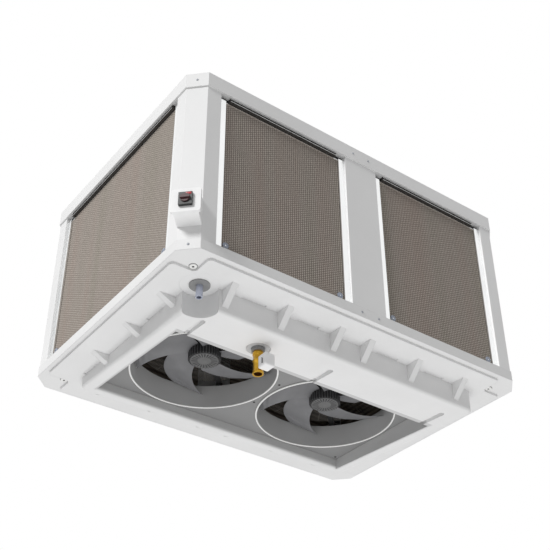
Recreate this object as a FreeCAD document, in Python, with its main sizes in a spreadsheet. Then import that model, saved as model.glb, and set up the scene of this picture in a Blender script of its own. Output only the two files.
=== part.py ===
import FreeCAD, Part
import Sketcher
import math
import os
import re
from FreeCAD import Placement, Rotation, Vector

# Adiabatic cooler with a bottom discharge. Z is up, the origin is the centre of the discharge on the
# underside of the mounting flange, X runs along the long side, and -Y is the side with the drain.

doc = FreeCAD.newDocument("AdiabaticCooler")
sheet = doc.addObject("Spreadsheet::Sheet", "Dims")
sizes = {}

# Case
CASE_HALF_X = 1000
CASE_HALF_Y = 712
CORNER_LEG = 74
POST_FLANK = 75
POST_RETURN = 30
POST_SHEET = 2
POST_HEIGHT = 900
CENTRE_POST_HALF = 101
CENTRE_POST_DEPTH = 60

# Moulded tank
LEDGE_LEVEL = 12
RIM_HEIGHT = 54
RIM_OVERHANG = 4
TANK_WALL = 8
SHELF_WIDTH = 130
LEDGE_X = 24
LEDGE_Y = 29
NOTCH_X = 142
NOTCH_Y = 144
NOTCH_RADIUS = 22
SUMP_HALF_X = 828
SUMP_HALF_Y = 530
SUMP_NEAR_DEPTH = 118
SUMP_FAR_DEPTH = 52
SUMP_CORNER = 40
SUMP_ROUND = 16
THROAT_HALF_X = 760
THROAT_NEAR = 257
THROAT_NEAR_TOP = 285
THROAT_FAR = 475
THROAT_ROUND = 18
RIB_WIDTH = 33
RIB_REACH = 82
RIB_DROP = 90
SHORT_RIB_DROP = 45
RIB_FIRST = 90
RIB_PITCH = 300
RIB_SHIFT = 14
SHORT_RIB_SHIFT = 48
SLOT_LENGTH = 124
SLOT_WIDTH = 16
SLOT_DEPTH = 5
TROUGH_WIDTH = 28
TROUGH_LENGTH = 168
TROUGH_PITCH = 715
TROUGH_LEVEL = 88
SEAT_LEVEL = 96
POCKET_X = 794
POCKET_Y = 504
POCKET_RADIUS = 88
POCKET_LEVEL = 1
TOOL_REACH = 20

# Fans
FAN_X = 378.6
FAN_Y = 96
SHROUD_RADIUS = 359
SHROUD_WALL = 5
SHROUD_LIP = 6
SHROUD_HEIGHT = 127
SHROUD_FLANGE = 12
SHROUD_SHEET = 4
DECK_THICKNESS = 6
WEB_SCREW = 109
DECK_SCREW_INSET = 25
HUB_RADIUS = 82
HUB_FACE = 57
HUB_HEIGHT = 64
HUB_SHELL = 14
FIN_DEPTH = 6
FIN_WIDTH = 5
FIN_ROOT = 3
BLADE_TIP = 350
BLADE_RISE = 50
BLADE_CAMBER = 9
BLADE_SHEET = 4
BLADE_SPAN = 55
BLADE_SWEEP = 27
BLADE_PHASE = 85
FAN_SHAFT = 8
STATOR_RADIUS = 58
STATOR_GAP = 5
CHEEK_WIDTH = 12
CHEEK_SHEET = 8
ARM_WIDTH = 30
ARM_THICKNESS = 6
ARM_RISE = 18

# Cooling pads
GUIDE_WIDTH = 34
GUIDE_RECESS = 11
GUIDE_SHEET = 8
FRAME_SHEET = 4
PAD_THICKNESS = 100
PAD_GAP = 25
CLIP_RADIUS = 10
CLIP_INSET = 21
CLIP_RISE = 28

# Cap and water header
CAP_OVERHANG = 7
CAP_HEIGHT = 85
CAP_SHEET = 3
CAP_LIP = 110
HEADER_RADIUS = 8
HEADER_INSET = 72
BLOCK_WIDTH = 54
BLOCK_FRONT = 26
BLOCK_DEPTH = 64
STRIP_DEPTH = 34

# Water inlet and float valve
INLET_FLANGE_RADIUS = 47
INLET_FLANGE_THICKNESS = 6
INLET_RADIUS = 15.5
INLET_BORE = 11
INLET_DROP = 65
VALVE_LENGTH = 50
VALVE_WIDTH = 40
VALVE_HEIGHT = 60
FLOAT_ARM_LENGTH = 197
FLOAT_ARM_HEIGHT = 47
FLOAT_RADIUS = 30
FLOAT_OFFSET = 16
FLOAT_FLAT = 26
ARM_BAR_WIDTH = 8
ARM_BAR_HEIGHT = 6
EAR_THICKNESS = 6
EAR_LENGTH = 20
EAR_HEIGHT = 16
PIVOT_RADIUS = 3

# Pump and riser
PUMP_X = 250
PUMP_Y = 430
PUMP_RADIUS = 50
PUMP_HEIGHT = 110
STRAINER_RADIUS = 60
STRAINER_HEIGHT = 36
STRAINER_WALL = 4
IMPELLER_RADIUS = 38
IMPELLER_HEIGHT = 14
VANE_WIDTH = 4
WHEEL_GAP = 3
RISER_RADIUS = 10

# Drain valve
DRAIN_X = 385
DRAIN_Y = 370
RECESS_RADIUS = 57
RECESS_LEVEL = 104
DRAIN_NUT_RADIUS = 31
DRAIN_NUT_HEIGHT = 21
BARREL_RADIUS = 22
BARREL_FLANGE = 18
BARREL_SHEET = 6
BARREL_BORE = 15
DRAIN_VALVE_RADIUS = 26
DRAIN_VALVE_LENGTH = 116
BALL_DEPTH = 75
DRAIN_PORT = 13
DRAIN_OUTLET = 19
DRAIN_OUTLET_DEPTH = 18
DRAIN_BALL_RADIUS = 21
DRAIN_STEM = 5
STEM_ROOT = 3
STEM_ENGAGEMENT = 15
ACTUATOR_SHIFT = 6
ACTUATOR_X = 56
ACTUATOR_Y = 60
ACTUATOR_Z = 66

# Isolator switch
ISOLATOR_WIDTH = 130
ISOLATOR_HEIGHT = 125
ISOLATOR_DEPTH = 85
ISOLATOR_COVER = 15
ISOLATOR_INSET = 11
ISOLATOR_TOE = 14
ISOLATOR_CENTRE = 212
DIAL_WIDTH = 60
DIAL_HEIGHT = 66
DIAL_THICKNESS = 14
KNOB_RADIUS = 21
KNOB_THICKNESS = 6
KNOB_BAR = 12
KNOB_GRIP = 8
ISOLATOR_WALL = 4
ISOLATOR_RELIEF = 3
SPINDLE = 5
SWITCH_SIDE = 50
SWITCH_DEPTH = 36
SPINDLE_DEPTH = 15

# Fasteners, clearances and the control box
SCREW_RADIUS = 3
SCREW_HEAD = 6
BOLT_RADIUS = 5
WASHER_RADIUS = 14
WASHER_SHEET = 2
BOLT_HEAD = 8
BOLT_INSET = 22
CENTRE_SCREW_PITCH = 50
CLEARANCE = 0.3
RUNNING_FIT = 0.05
BOX_LENGTH = 240
BOX_WIDTH = 180
BOX_HEIGHT = 60
BOX_WALL = 3
LID_OVERHANG = 4

# Every driving size above goes into the sheet, in millimetres or degrees, under its name in small letters
for name, number in list(globals().items()):
    if name.isupper():
        row = str(len(sizes) + 1)
        alias = name.lower()
        sheet.set("A" + row, alias)
        sheet.set("B" + row, str(number))
        sheet.setAlias("B" + row, alias)
        sizes[alias] = float(number)

# Sizes worked out from the driving ones, written as text for the expressions
RIM_X = "(case_half_x + rim_overhang)"
RIM_Y = "(case_half_y + rim_overhang)"
RIM_TOP = "(ledge_level + rim_height)"
CAP_BOTTOM = "(ledge_level + rim_height + post_height)"
CAP_TOP = "(ledge_level + rim_height + post_height + cap_height)"
CAP_X = "(case_half_x + cap_overhang)"
CAP_Y = "(case_half_y + cap_overhang)"
PAD_TOP = "(post_height - pad_gap)"
BELOW = "(sump_near_depth + tool_reach)"
DECK_NEAR = "(throat_near_top + tank_wall)"
DECK_FAR = "(throat_far + tank_wall)"
SHROUD_OUTER = "(shroud_radius + shroud_wall)"
SHROUD_TOP = "(shroud_height - shroud_lip)"
MOTOR_PLATE = "(shroud_height - shroud_lip + arm_rise)"
LONG_PAD = "(case_half_x - corner_leg - post_flank - centre_post_half)"
SHORT_PAD = "(2 * (case_half_y - corner_leg - post_flank))"
VALVE_TOP = "(0 - recess_level - drain_nut_height)"
BALL_LEVEL = "(0 - recess_level - drain_nut_height - ball_depth)"
HEADER_LEVEL = "(ledge_level + rim_height + post_height - pad_gap / 2)"
HEADER_X = "(case_half_x - header_inset)"
HEADER_Y = "(case_half_y - header_inset)"
ARM_LEVEL = "(tank_wall + float_arm_height)"
PIVOT_X = "(0 - pocket_x + valve_length / 2 + ear_length - ear_height / 2)"

doc.recompute()
nodes = []


def value(name):
    """Read a driving dimension back from the sheet."""
    return float(sheet.get(name))


def bound(text):
    """Point each dimension's name in an expression at its cell."""
    return re.sub(r"[a-z_]+", lambda m: "Dims." + m.group(0) if m.group(0) in sizes else m.group(0), str(text))


def bind(obj, prop, text):
    obj.setExpression(prop, bound(text))


def move(obj, x="0", y="0", z="0", turn=None):
    """Place an object by three expressions, with a fixed turn."""
    if turn is not None:
        obj.Placement = Placement(Vector(0, 0, 0), turn)
    bind(obj, "Placement.Base.x", x)
    bind(obj, "Placement.Base.y", y)
    bind(obj, "Placement.Base.z", z)
    return obj


def about_z(angle):
    return Rotation(Vector(0, 0, 1), angle)


ALONG = {
    "z": Rotation(),
    "-z": Rotation(Vector(1, 0, 0), 180),
    "x": Rotation(Vector(0, 1, 0), 90),
    "y": Rotation(Vector(1, 0, 0), -90),
    "-y": Rotation(Vector(1, 0, 0), 90),
}


def box(name, x, y, z, length, width, height):
    obj = doc.addObject("Part::Box", name)
    bind(obj, "Length", length)
    bind(obj, "Width", width)
    bind(obj, "Height", height)
    return move(obj, x, y, z)


def cylinder(name, x, y, z, radius, height, along="z"):
    obj = doc.addObject("Part::Cylinder", name)
    bind(obj, "Radius", radius)
    bind(obj, "Height", height)
    return move(obj, x, y, z, ALONG[along])


def ball(name, x, y, z, radius):
    obj = doc.addObject("Part::Sphere", name)
    bind(obj, "Radius", radius)
    return move(obj, x, y, z)


def fuse(name, shapes):
    obj = doc.addObject("Part::MultiFuse", name)
    obj.Shapes = shapes
    return obj


def cut(name, base, tools):
    obj = doc.addObject("Part::Cut", name)
    obj.Base = base
    obj.Tool = tools[0] if len(tools) == 1 else fuse(name + "_tools", tools)
    return obj


def common(name, base, tool):
    obj = doc.addObject("Part::Common", name)
    obj.Base = base
    obj.Tool = tool
    return obj


def tube(name, x, y, z, outer, inner, height, along="z"):
    wall = cylinder(name + "_wall", x, y, z, outer, height, along)
    bore = cylinder(name + "_bore", x, y, z, inner, height, along)
    return cut(name, wall, [bore])


def chamfered(name, half_x, half_y, leg, z, height):
    """An upright rectangular block whose four corners are cut at 45 degrees."""
    reach = "(%s + %s - %s)" % (half_x, half_y, leg)
    block = box(name + "_block", "-" + half_x, "-" + half_y, z, "2 * " + half_x, "2 * " + half_y, height)
    side = "%s * sqrt(2)" % reach
    turned = box(name + "_turned", "0", "0", z, side, side, height)
    move(turned, "0", "-" + reach, z, about_z(45))
    return common(name, block, turned)


def prism(name, plane, points, length, centred=True):
    """A body padded from a closed outline, each corner held by its own two dimensions."""
    body = doc.addObject("PartDesign::Body", name)
    sketch = body.newObject("Sketcher::SketchObject", name + "_outline")
    base = [f for f in body.Origin.OriginFeatures if f.Role == plane][0]
    sketch.AttachmentSupport = [(base, "")]
    sketch.MapMode = "FlatFace"
    start = [(evaluate(u), evaluate(v)) for u, v in points]
    count = len(points)
    for i in range(count):
        a = Vector(start[i][0], start[i][1], 0)
        b = Vector(start[(i + 1) % count][0], start[(i + 1) % count][1], 0)
        sketch.addGeometry(Part.LineSegment(a, b), False)
    for i in range(count):
        sketch.addConstraint(Sketcher.Constraint("Coincident", i, 2, (i + 1) % count, 1))
    for i, (u, v) in enumerate(points):
        for kind, letter, text, now in (("DistanceX", "u", u, start[i][0]), ("DistanceY", "v", v, start[i][1])):
            index = sketch.addConstraint(Sketcher.Constraint(kind, -1, 1, i, 1, now))
            sketch.renameConstraint(index, letter + str(i))
            sketch.setExpression("Constraints." + letter + str(i), bound(text))
    pad = body.newObject("PartDesign::Pad", name + "_pad")
    pad.Profile = sketch
    bind(pad, "Length", length)
    if centred:
        pad.Midplane = True
    return body


def evaluate(text):
    """The present number behind an expression, to start a sketch from."""
    return float(sheet.evalExpression(bound(text)))


def round_edges(body, radius, wanted):
    """Round the edges of a body that the test picks."""
    doc.recompute()
    last = body.Tip
    picked = ["Edge%d" % (i + 1) for i, e in enumerate(last.Shape.Edges) if wanted(e)]
    fillet = body.newObject("PartDesign::Fillet", body.Name + "_round" + str(len(body.Group)))
    fillet.Base = (last, picked)
    bind(fillet, "Radius", radius)
    body.Tip = fillet
    return fillet


def upright(edge):
    a = edge.Vertexes[0].Point
    b = edge.Vertexes[-1].Point
    return len(edge.Vertexes) == 2 and abs(a.z - b.z) > 1 and abs(a.x - b.x) < 0.01 and abs(a.y - b.y) < 0.01


def shape_feature(name, shape):
    """A shape that neither a sketch nor a primitive gives."""
    obj = doc.addObject("Part::Feature", name)
    obj.Shape = shape
    return obj


def node(obj, label):
    """Register a finished sub-part: its label is its file's name."""
    obj.Label = label
    nodes.append(obj)
    return obj


# Moulded tank: rim, flange, sloping sump and the throat that the air leaves by
def leg_at(offset):
    """The corner cut of an outline that stands out from the case by an offset all round."""
    return "(corner_leg + (2 - sqrt(2)) * (%s))" % offset


def cross_outline(inset):
    """The flange's outline: a cross whose missing corners are the raised corner pads."""
    long_x = "(case_half_x + rim_overhang - ledge_x - %s)" % inset
    long_y = "(case_half_y + rim_overhang - ledge_y - %s)" % inset
    short_x = "(case_half_x + rim_overhang - notch_x - %s)" % inset
    short_y = "(case_half_y + rim_overhang - notch_y - %s)" % inset
    points = []
    for sx, sy in ((1, -1), (1, 1), (-1, 1), (-1, -1)):
        corner = [(short_x, long_y), (short_x, short_y), (long_x, short_y)]
        if sx * sy > 0:
            corner.reverse()
        points += [("%d * %s" % (sx, u), "%d * %s" % (sy, v)) for u, v in corner]
    return points


def sump_outline(inset, top):
    """The sump's side view, whose floor falls towards the drain."""
    half = "(sump_half_y - %s)" % inset
    near = "0 - (sump_near_depth - %s)" % inset
    far = "0 - (sump_far_depth - %s)" % inset
    return [("0 - " + half, near), (half, far), (half, top), ("0 - " + half, top)]


def throat_outline(wall):
    """The throat's side view, whose near wall leans out to clear the fan rings."""
    below = "0 - " + BELOW
    return [
        ("0 - (throat_near_top + %s)" % wall, "0"),
        ("0 - (throat_near + %s)" % wall, below),
        ("(throat_far + %s)" % wall, below),
        ("(throat_far + %s)" % wall, "0"),
    ]


def slot_prism(name, x, width, length, level):
    """A round-ended block in front of the throat's near edge, up to a level."""
    floor = "0 - " + BELOW
    height = "(%s + %s)" % (BELOW, level)
    end = "0 - (throat_near + %s - %s / 2)" % (length, width)
    run = "(%s - %s / 2 + tank_wall)" % (length, width)
    bar = box(name + "_bar", "%s - %s / 2" % (x, width), end, floor, width, run, height)
    nose = cylinder(name + "_nose", x, end, floor, "%s / 2" % width, height)
    return fuse(name, [bar, nose])


def rib(name, drop, turn, along, half):
    """A triangular rib under the flange: along gives its place on the wall, half the wall's distance."""
    outline = [
        ("0 - (%s + rib_reach)" % half, "0"),
        ("0 - (%s + rib_reach)" % half, "1"),
        ("0 - (%s - tank_wall / 2)" % half, "1"),
        ("0 - (%s - tank_wall / 2)" % half, "0 - " + drop),
    ]
    body = prism(name, "YZ_Plane", outline, "rib_width")
    angle = math.radians(turn)
    return move(body, "%.0f * (%s)" % (math.cos(angle), along), "%.0f * (%s)" % (math.sin(angle), along), "0",
                about_z(turn))


LONG_RIBS = ["%d * (rib_first + %d * rib_pitch) + rib_shift" % (sign, k) for sign in (-1, 1) for k in (0, 1, 2)]
SHORT_RIBS = ["%d * rib_pitch - short_rib_shift" % k for k in (-1, 0, 1)]
LONG_SLOTS = [
    "%d * (rib_first + (%d + 0.5) * rib_pitch) + rib_shift" % (sign, k) for sign in (-1, 1) for k in (0, 1)
]
TROUGHS = ["0 - trough_pitch", "0", "trough_pitch"]
CORNERS = [(-1, -1, -45), (1, -1, 45), (1, 1, 135), (-1, 1, 225)]


def screw_places(half_x, half_y, leg, level):
    """Places and turns of the screws round a band: one on each corner face, two on each long side."""
    places = []
    for sx, sy, turn in CORNERS:
        x = "%d * (%s - %s / 2)" % (sx, half_x, leg)
        y = "%d * (%s - %s / 2)" % (sy, half_y, leg)
        places.append((x, y, level, turn))
    for side, turn in ((-1, 0), (1, 180)):
        for shift in (-1, 1):
            places.append(("%d * centre_screw_pitch" % shift, "%d * %s" % (side, half_y), level, turn))
    return places


def screw_holes(name, places):
    holes = []
    for i, (x, y, z, turn) in enumerate(places):
        hole = cylinder("%s_hole%d" % (name, i), "0", "0", "0", "screw_radius + clearance", "2 * tank_wall", "y")
        start = cylinder("%s_start%d" % (name, i), "0", "0", "0", "screw_radius + clearance", "tank_wall", "-y")
        holes.append(move(fuse("%s_drill%d" % (name, i), [hole, start]), x, y, z, about_z(turn)))
    return holes


def screws(name, places):
    """Pan-head screws, each a solid of its own."""
    made = []
    for i, (x, y, z, turn) in enumerate(places):
        head = cylinder("%s_head%d" % (name, i), "0", "0", "0", "screw_head", "screw_radius", "-y")
        shank = cylinder("%s_shank%d" % (name, i), "0", "0", "0", "screw_radius", "1.6 * tank_wall", "y")
        made.append(move(fuse("%s_screw%d" % (name, i), [head, shank]), x, y, z, about_z(turn)))
    return fuse(name, made)


RIM_SCREWS = screw_places(RIM_X, RIM_Y, leg_at("rim_overhang"), "(ledge_level + rim_height / 2)")
CAP_SCREWS = screw_places(CAP_X, CAP_Y, leg_at("cap_overhang"), "(%s + cap_height / 2)" % CAP_BOTTOM)
BOLT_X = "(case_half_x + rim_overhang - notch_x + bolt_inset)"
BOLT_Y = "(case_half_y + rim_overhang - notch_y + bolt_inset - 2)"
DECK_SCREWS = [("0", "fan_y + web_screw"), ("0", "fan_y - web_screw")]
for share in ("-1", "1"):
    for y in ("throat_far - deck_screw_inset", "deck_screw_inset - throat_near_top"):
        DECK_SCREWS.append(("%s * (throat_half_x - deck_screw_inset)" % share, y))


def build_tank():
    rim = chamfered("tank_rim", RIM_X, RIM_Y, leg_at("rim_overhang"), "ledge_level", "rim_height")
    flange = prism("tank_flange", "XY_Plane", cross_outline("0"), "ledge_level + tank_wall", centred=False)
    round_edges(flange, "notch_radius", upright)
    sump = prism("tank_sump", "YZ_Plane", sump_outline("0", "tank_wall"), "2 * sump_half_x")
    round_edges(sump, "sump_corner", upright)
    below = 0.5 - value("sump_far_depth")
    round_edges(sump, "sump_round", lambda e: e.BoundBox.ZMax < below)
    outer = [rim, flange, sump]
    for i, along in enumerate(LONG_RIBS):
        outer.append(rib("near_rib%d" % i, "rib_drop", 0, along, "sump_half_y"))
        outer.append(rib("far_rib%d" % i, "short_rib_drop", 180, "0 - (%s)" % along, "sump_half_y"))
    for i, along in enumerate(SHORT_RIBS):
        outer.append(rib("left_rib%d" % i, "short_rib_drop", 270, "0 - (%s)" % along, "sump_half_x"))
        outer.append(rib("right_rib%d" % i, "short_rib_drop", 90, along, "sump_half_x"))
    body = fuse("tank_outer", outer)
    inner_leg = leg_at("rim_overhang - tank_wall")
    hollow = chamfered("tank_hollow", "(case_half_x + rim_overhang - tank_wall)",
                       "(case_half_y + rim_overhang - tank_wall)", inner_leg,
                       "ledge_level + tank_wall", "rim_height - 2 * tank_wall")
    mouth = chamfered("tank_mouth", "(case_half_x + rim_overhang - shelf_width)",
                      "(case_half_y + rim_overhang - shelf_width)", "corner_leg",
                      "ledge_level + tank_wall", "rim_height")
    shallow = prism("tank_shallow", "XY_Plane", cross_outline("tank_wall"), "ledge_level + 1", centred=False)
    round_edges(shallow, "notch_radius", upright)
    move(shallow, "0", "0", "tank_wall")
    deep = prism("tank_deep", "YZ_Plane", sump_outline("tank_wall", "tank_wall + 1"),
                 "2 * (sump_half_x - tank_wall)")
    round_edges(deep, "sump_corner - tank_wall", upright)
    floor = "0 - " + BELOW
    kept = [prism("throat_block", "YZ_Plane", throat_outline("tank_wall"), "2 * (throat_half_x + tank_wall)")]
    kept.append(cylinder("pocket_block", "0 - pocket_x", "0 - pocket_y", floor, "pocket_radius + tank_wall",
                         BELOW + " + tank_wall"))
    for i, x in enumerate(TROUGHS):
        kept.append(slot_prism("trough_block%d" % i, x, "(trough_width + 2 * tank_wall)",
                               "(trough_length + tank_wall)", "(tank_wall - trough_level)"))
    kept.append(cylinder("drain_block", "0 - drain_x", "0 - drain_y", floor, "recess_radius + tank_wall",
                         BELOW + " - seat_level"))
    kept.append(cylinder("pump_block", "pump_x", "0 - pump_y", floor, "strainer_radius + tank_wall",
                         BELOW + " - seat_level"))
    water = cut("tank_water", fuse("tank_room", [hollow, mouth, shallow, deep]), kept)
    shell = cut("tank_shell", body, [water])
    throat = prism("throat_hole", "YZ_Plane", throat_outline("0"), "2 * throat_half_x")
    opened = cut("tank_opened", shell, [throat])
    doc.recompute()
    rounded = doc.addObject("Part::Fillet", "tank_rounded")
    rounded.Base = opened
    rounded.Edges = [(i, value("throat_round"), value("throat_round")) for i in throat_edges(opened.Shape)]
    tools = [cylinder("pocket", "0 - pocket_x", "0 - pocket_y", floor, "pocket_radius", BELOW + " + pocket_level")]
    for i, x in enumerate(TROUGHS):
        tools.append(slot_prism("trough%d" % i, x, "trough_width", "trough_length", "(0 - trough_level)"))
    tools.append(cylinder("drain_recess", "0 - drain_x", "0 - drain_y", floor, "recess_radius",
                          BELOW + " - recess_level"))
    tools.append(cylinder("drain_hole", "0 - drain_x", "0 - drain_y", floor, "barrel_radius + clearance",
                          BELOW))
    tools.append(cylinder("inlet_hole", "0 - pocket_x", "0 - pocket_y", "-1", "inlet_radius + clearance",
                          "tank_wall + 2"))
    for i, x in enumerate(LONG_SLOTS):
        tools.append(box("near_slot%d" % i, "%s - slot_length / 2" % x, "0 - sump_half_y - slot_width", "-1",
                         "slot_length", "slot_width", "slot_depth + 1"))
        tools.append(box("far_slot%d" % i, "%s - slot_length / 2" % x, "sump_half_y", "-1",
                         "slot_length", "slot_width", "slot_depth + 1"))
    for side in (-1, 1):
        for shift in ("-0.5", "1.5"):
            y = "%s * rib_pitch - short_rib_shift - slot_length / 2" % shift
            x = "0 - sump_half_x - slot_width" if side < 0 else "sump_half_x"
            tools.append(box("side_slot", x, y, "-1", "slot_width", "slot_length", "slot_depth + 1"))
    for sx, sy, turn in CORNERS:
        tools.append(cylinder("bolt_hole", "%d * %s" % (sx, BOLT_X), "%d * %s" % (sy, BOLT_Y), "0",
                              "bolt_radius + clearance", "ledge_level + 2 * tank_wall"))
    tools += screw_holes("rim", RIM_SCREWS)
    node(cut("tank", rounded, tools), "base_tank")


def throat_edges(shape):
    """The numbers of the edges round the throat's mouth, which lie in the sump's sloping floor."""
    slope = (value("sump_near_depth") - value("sump_far_depth")) / (2 * value("sump_half_y"))
    reach_x = value("throat_half_x") + 1
    near = -value("throat_near") - 5
    far = value("throat_far") + 1
    found = []
    for i, edge in enumerate(shape.Edges):
        inside = True
        for v in edge.Vertexes:
            floor = -value("sump_near_depth") + slope * (v.Y + value("sump_half_y"))
            inside = inside and abs(v.X) < reach_x and near < v.Y < far and abs(v.Z - floor) < 0.05
        if inside:
            found.append(i + 1)
    return found


def bolts():
    made = []
    for i, (sx, sy, turn) in enumerate(CORNERS):
        x = "%d * %s" % (sx, BOLT_X)
        y = "%d * %s" % (sy, BOLT_Y)
        head = cylinder("bolt_head%d" % i, x, y, "ledge_level - bolt_head", "bolt_head", "bolt_head")
        washer = cylinder("bolt_washer%d" % i, x, y, "ledge_level - washer_sheet", "washer_radius",
                          "washer_sheet")
        shank = cylinder("bolt_shank%d" % i, x, y, "ledge_level", "bolt_radius", "2.5 * tank_wall")
        made.append(fuse("bolt%d" % i, [head, washer, shank]))
    node(fuse("bolts", made), "corner_bolts")


# Fan deck, rings, motors and impellers
FIN_COUNT = 30
BLADE_COUNT = 5
BLADE_GRID = 6
BLADE_CURVE = 1.3


def build_deck():
    plate = box("deck_plate", "0 - (throat_half_x + tank_wall)", "0 - " + DECK_NEAR, "0",
                "2 * (throat_half_x + tank_wall)", "%s + %s" % (DECK_NEAR, DECK_FAR), "deck_thickness")
    tools = []
    for side in ("-1", "1"):
        tools.append(cylinder("deck_hole", side + " * fan_x", "fan_y", "-1", SHROUD_OUTER + " + clearance",
                              "deck_thickness + 2"))
    heads = []
    for i, (x, y) in enumerate(DECK_SCREWS):
        tools.append(cylinder("deck_drill", x, y, "-1", "screw_radius + clearance", "deck_thickness + 2"))
        head = cylinder("deck_head%d" % i, x, y, "0 - screw_radius", "screw_head", "screw_radius")
        shank = cylinder("deck_shank%d" % i, x, y, "0", "screw_radius", "deck_thickness + shroud_sheet")
        heads.append(fuse("deck_screw%d" % i, [head, shank]))
    node(cut("deck", plate, tools), "fan_deck")
    node(fuse("deck_fasteners", heads), "deck_screws")


def blade(index):
    """One swept blade: its tail runs low, its nose high, and both follow curves in angle and height."""
    root = value("hub_radius") - value("fin_root")
    tip = value("blade_tip")
    turn = value("blade_phase") + 360 / BLADE_COUNT * index

    def grid(lift):
        rows = []
        for i in range(BLADE_GRID):
            out = i / (BLADE_GRID - 1)
            row = []
            for j in range(BLADE_GRID):
                across = j / (BLADE_GRID - 1)
                sweep = value("blade_sweep") * out ** BLADE_CURVE
                angle = math.radians(turn - sweep + value("blade_span") * across)
                radius = root + (tip - root) * out
                rise = value("blade_rise") * across + value("blade_camber") * math.sin(math.pi * across)
                height = value("hub_face") + value("fin_depth") + rise + lift
                row.append(Vector(radius * math.cos(angle), radius * math.sin(angle), height))
            rows.append(row)
        surface = Part.BSplineSurface()
        surface.interpolate(rows)
        return surface

    low = grid(0)
    high = grid(value("blade_sheet"))
    faces = [low.toShape(), high.toShape()]
    for u in (0, 1):
        faces.append(Part.makeRuledSurface(low.uIso(u).toShape(), high.uIso(u).toShape()))
        faces.append(Part.makeRuledSurface(low.vIso(u).toShape(), high.vIso(u).toShape()))
    shell = Part.makeShell(faces)
    shell.sewShape()
    solid = Part.makeSolid(shell)
    if solid.Volume < 0:
        solid.reverse()
    return solid


def build_fan(side, sign):
    x = "%s * fan_x" % sign
    ring = tube(side + "_ring", "0", "0", "0 - shroud_lip", SHROUD_OUTER, "shroud_radius", "shroud_height")
    foot = tube(side + "_foot", "0", "0", "deck_thickness", SHROUD_OUTER + " + shroud_flange",
                SHROUD_OUTER + " - 1", "shroud_sheet")
    crown = tube(side + "_crown", "0", "0", SHROUD_TOP + " - shroud_sheet", SHROUD_OUTER + " + shroud_flange",
                 SHROUD_OUTER + " - 1", "shroud_sheet")
    node(move(fuse(side + "_shroud", [ring, foot, crown]), x, "fan_y"), "fan_shroud_" + side)

    drum = cylinder(side + "_drum", "0", "0", "hub_face", "hub_radius - fin_depth", "hub_height")
    room = cylinder(side + "_room", "0", "0", "hub_face + hub_shell", "hub_radius - fin_depth - hub_shell",
                    "hub_height")
    pieces = [cut(side + "_hub", drum, [room])]
    pieces.append(cylinder(side + "_spindle", "0", "0", "hub_face + hub_shell / 2", "fan_shaft",
                           "hub_height + fin_depth"))
    for i in range(FIN_COUNT):
        fin = box("%s_fin%d" % (side, i), "0", "0", "0", "fin_depth + fin_root", "fin_width",
                  "hub_height - fin_depth")
        angle = 360 * i / FIN_COUNT
        ray = "(hub_radius - fin_depth - fin_root)"
        cosine = math.cos(math.radians(angle))
        sine = math.sin(math.radians(angle))
        fin_x = "%.6f * %s + %.6f * fin_width / 2" % (cosine, ray, sine)
        fin_y = "%.6f * %s - %.6f * fin_width / 2" % (sine, ray, cosine)
        pieces.append(move(fin, fin_x, fin_y, "hub_face + fin_depth", about_z(angle)))
    for i in range(BLADE_COUNT):
        pieces.append(shape_feature("%s_blade%d" % (side, i), blade(i)))
    node(move(fuse(side + "_rotor", pieces), x, "fan_y"), "fan_rotor_" + side)

    core = cylinder(side + "_core", "0", "0", "hub_face + hub_shell + stator_gap", "stator_radius",
                    MOTOR_PLATE + " - hub_face - hub_shell - stator_gap")
    cheek = cylinder(side + "_cheek", "0", "0", MOTOR_PLATE + " - cheek_sheet", "stator_radius + cheek_width",
                     "cheek_sheet")
    bore = cylinder(side + "_bearing", "0", "0", "hub_face", "fan_shaft + running_fit",
                    "hub_height + hub_shell")
    node(move(cut(side + "_stator", fuse(side + "_motor", [core, cheek]), [bore]), x, "fan_y"),
         "motor_stator_" + side)

    bars = [cylinder(side + "_hubplate", "0", "0", MOTOR_PLATE, "stator_radius + cheek_width", "arm_thickness")]
    for i in range(4):
        bar = box("%s_arm%d" % (side, i), "0", "0 - arm_width / 2", "arm_rise",
                  SHROUD_OUTER + " + shroud_flange", "arm_width", "arm_thickness")
        leg = box("%s_leg%d" % (side, i), SHROUD_OUTER + " - shroud_wall", "0 - arm_width / 2", "0",
                  "shroud_flange + shroud_wall", "arm_width", "arm_rise + 1")
        bars.append(move(fuse("%s_strut%d" % (side, i), [bar, leg]), "0", "0", SHROUD_TOP, about_z(45 + 90 * i)))
    node(move(fuse(side + "_spider", bars), x, "fan_y"), "motor_support_" + side)


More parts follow.
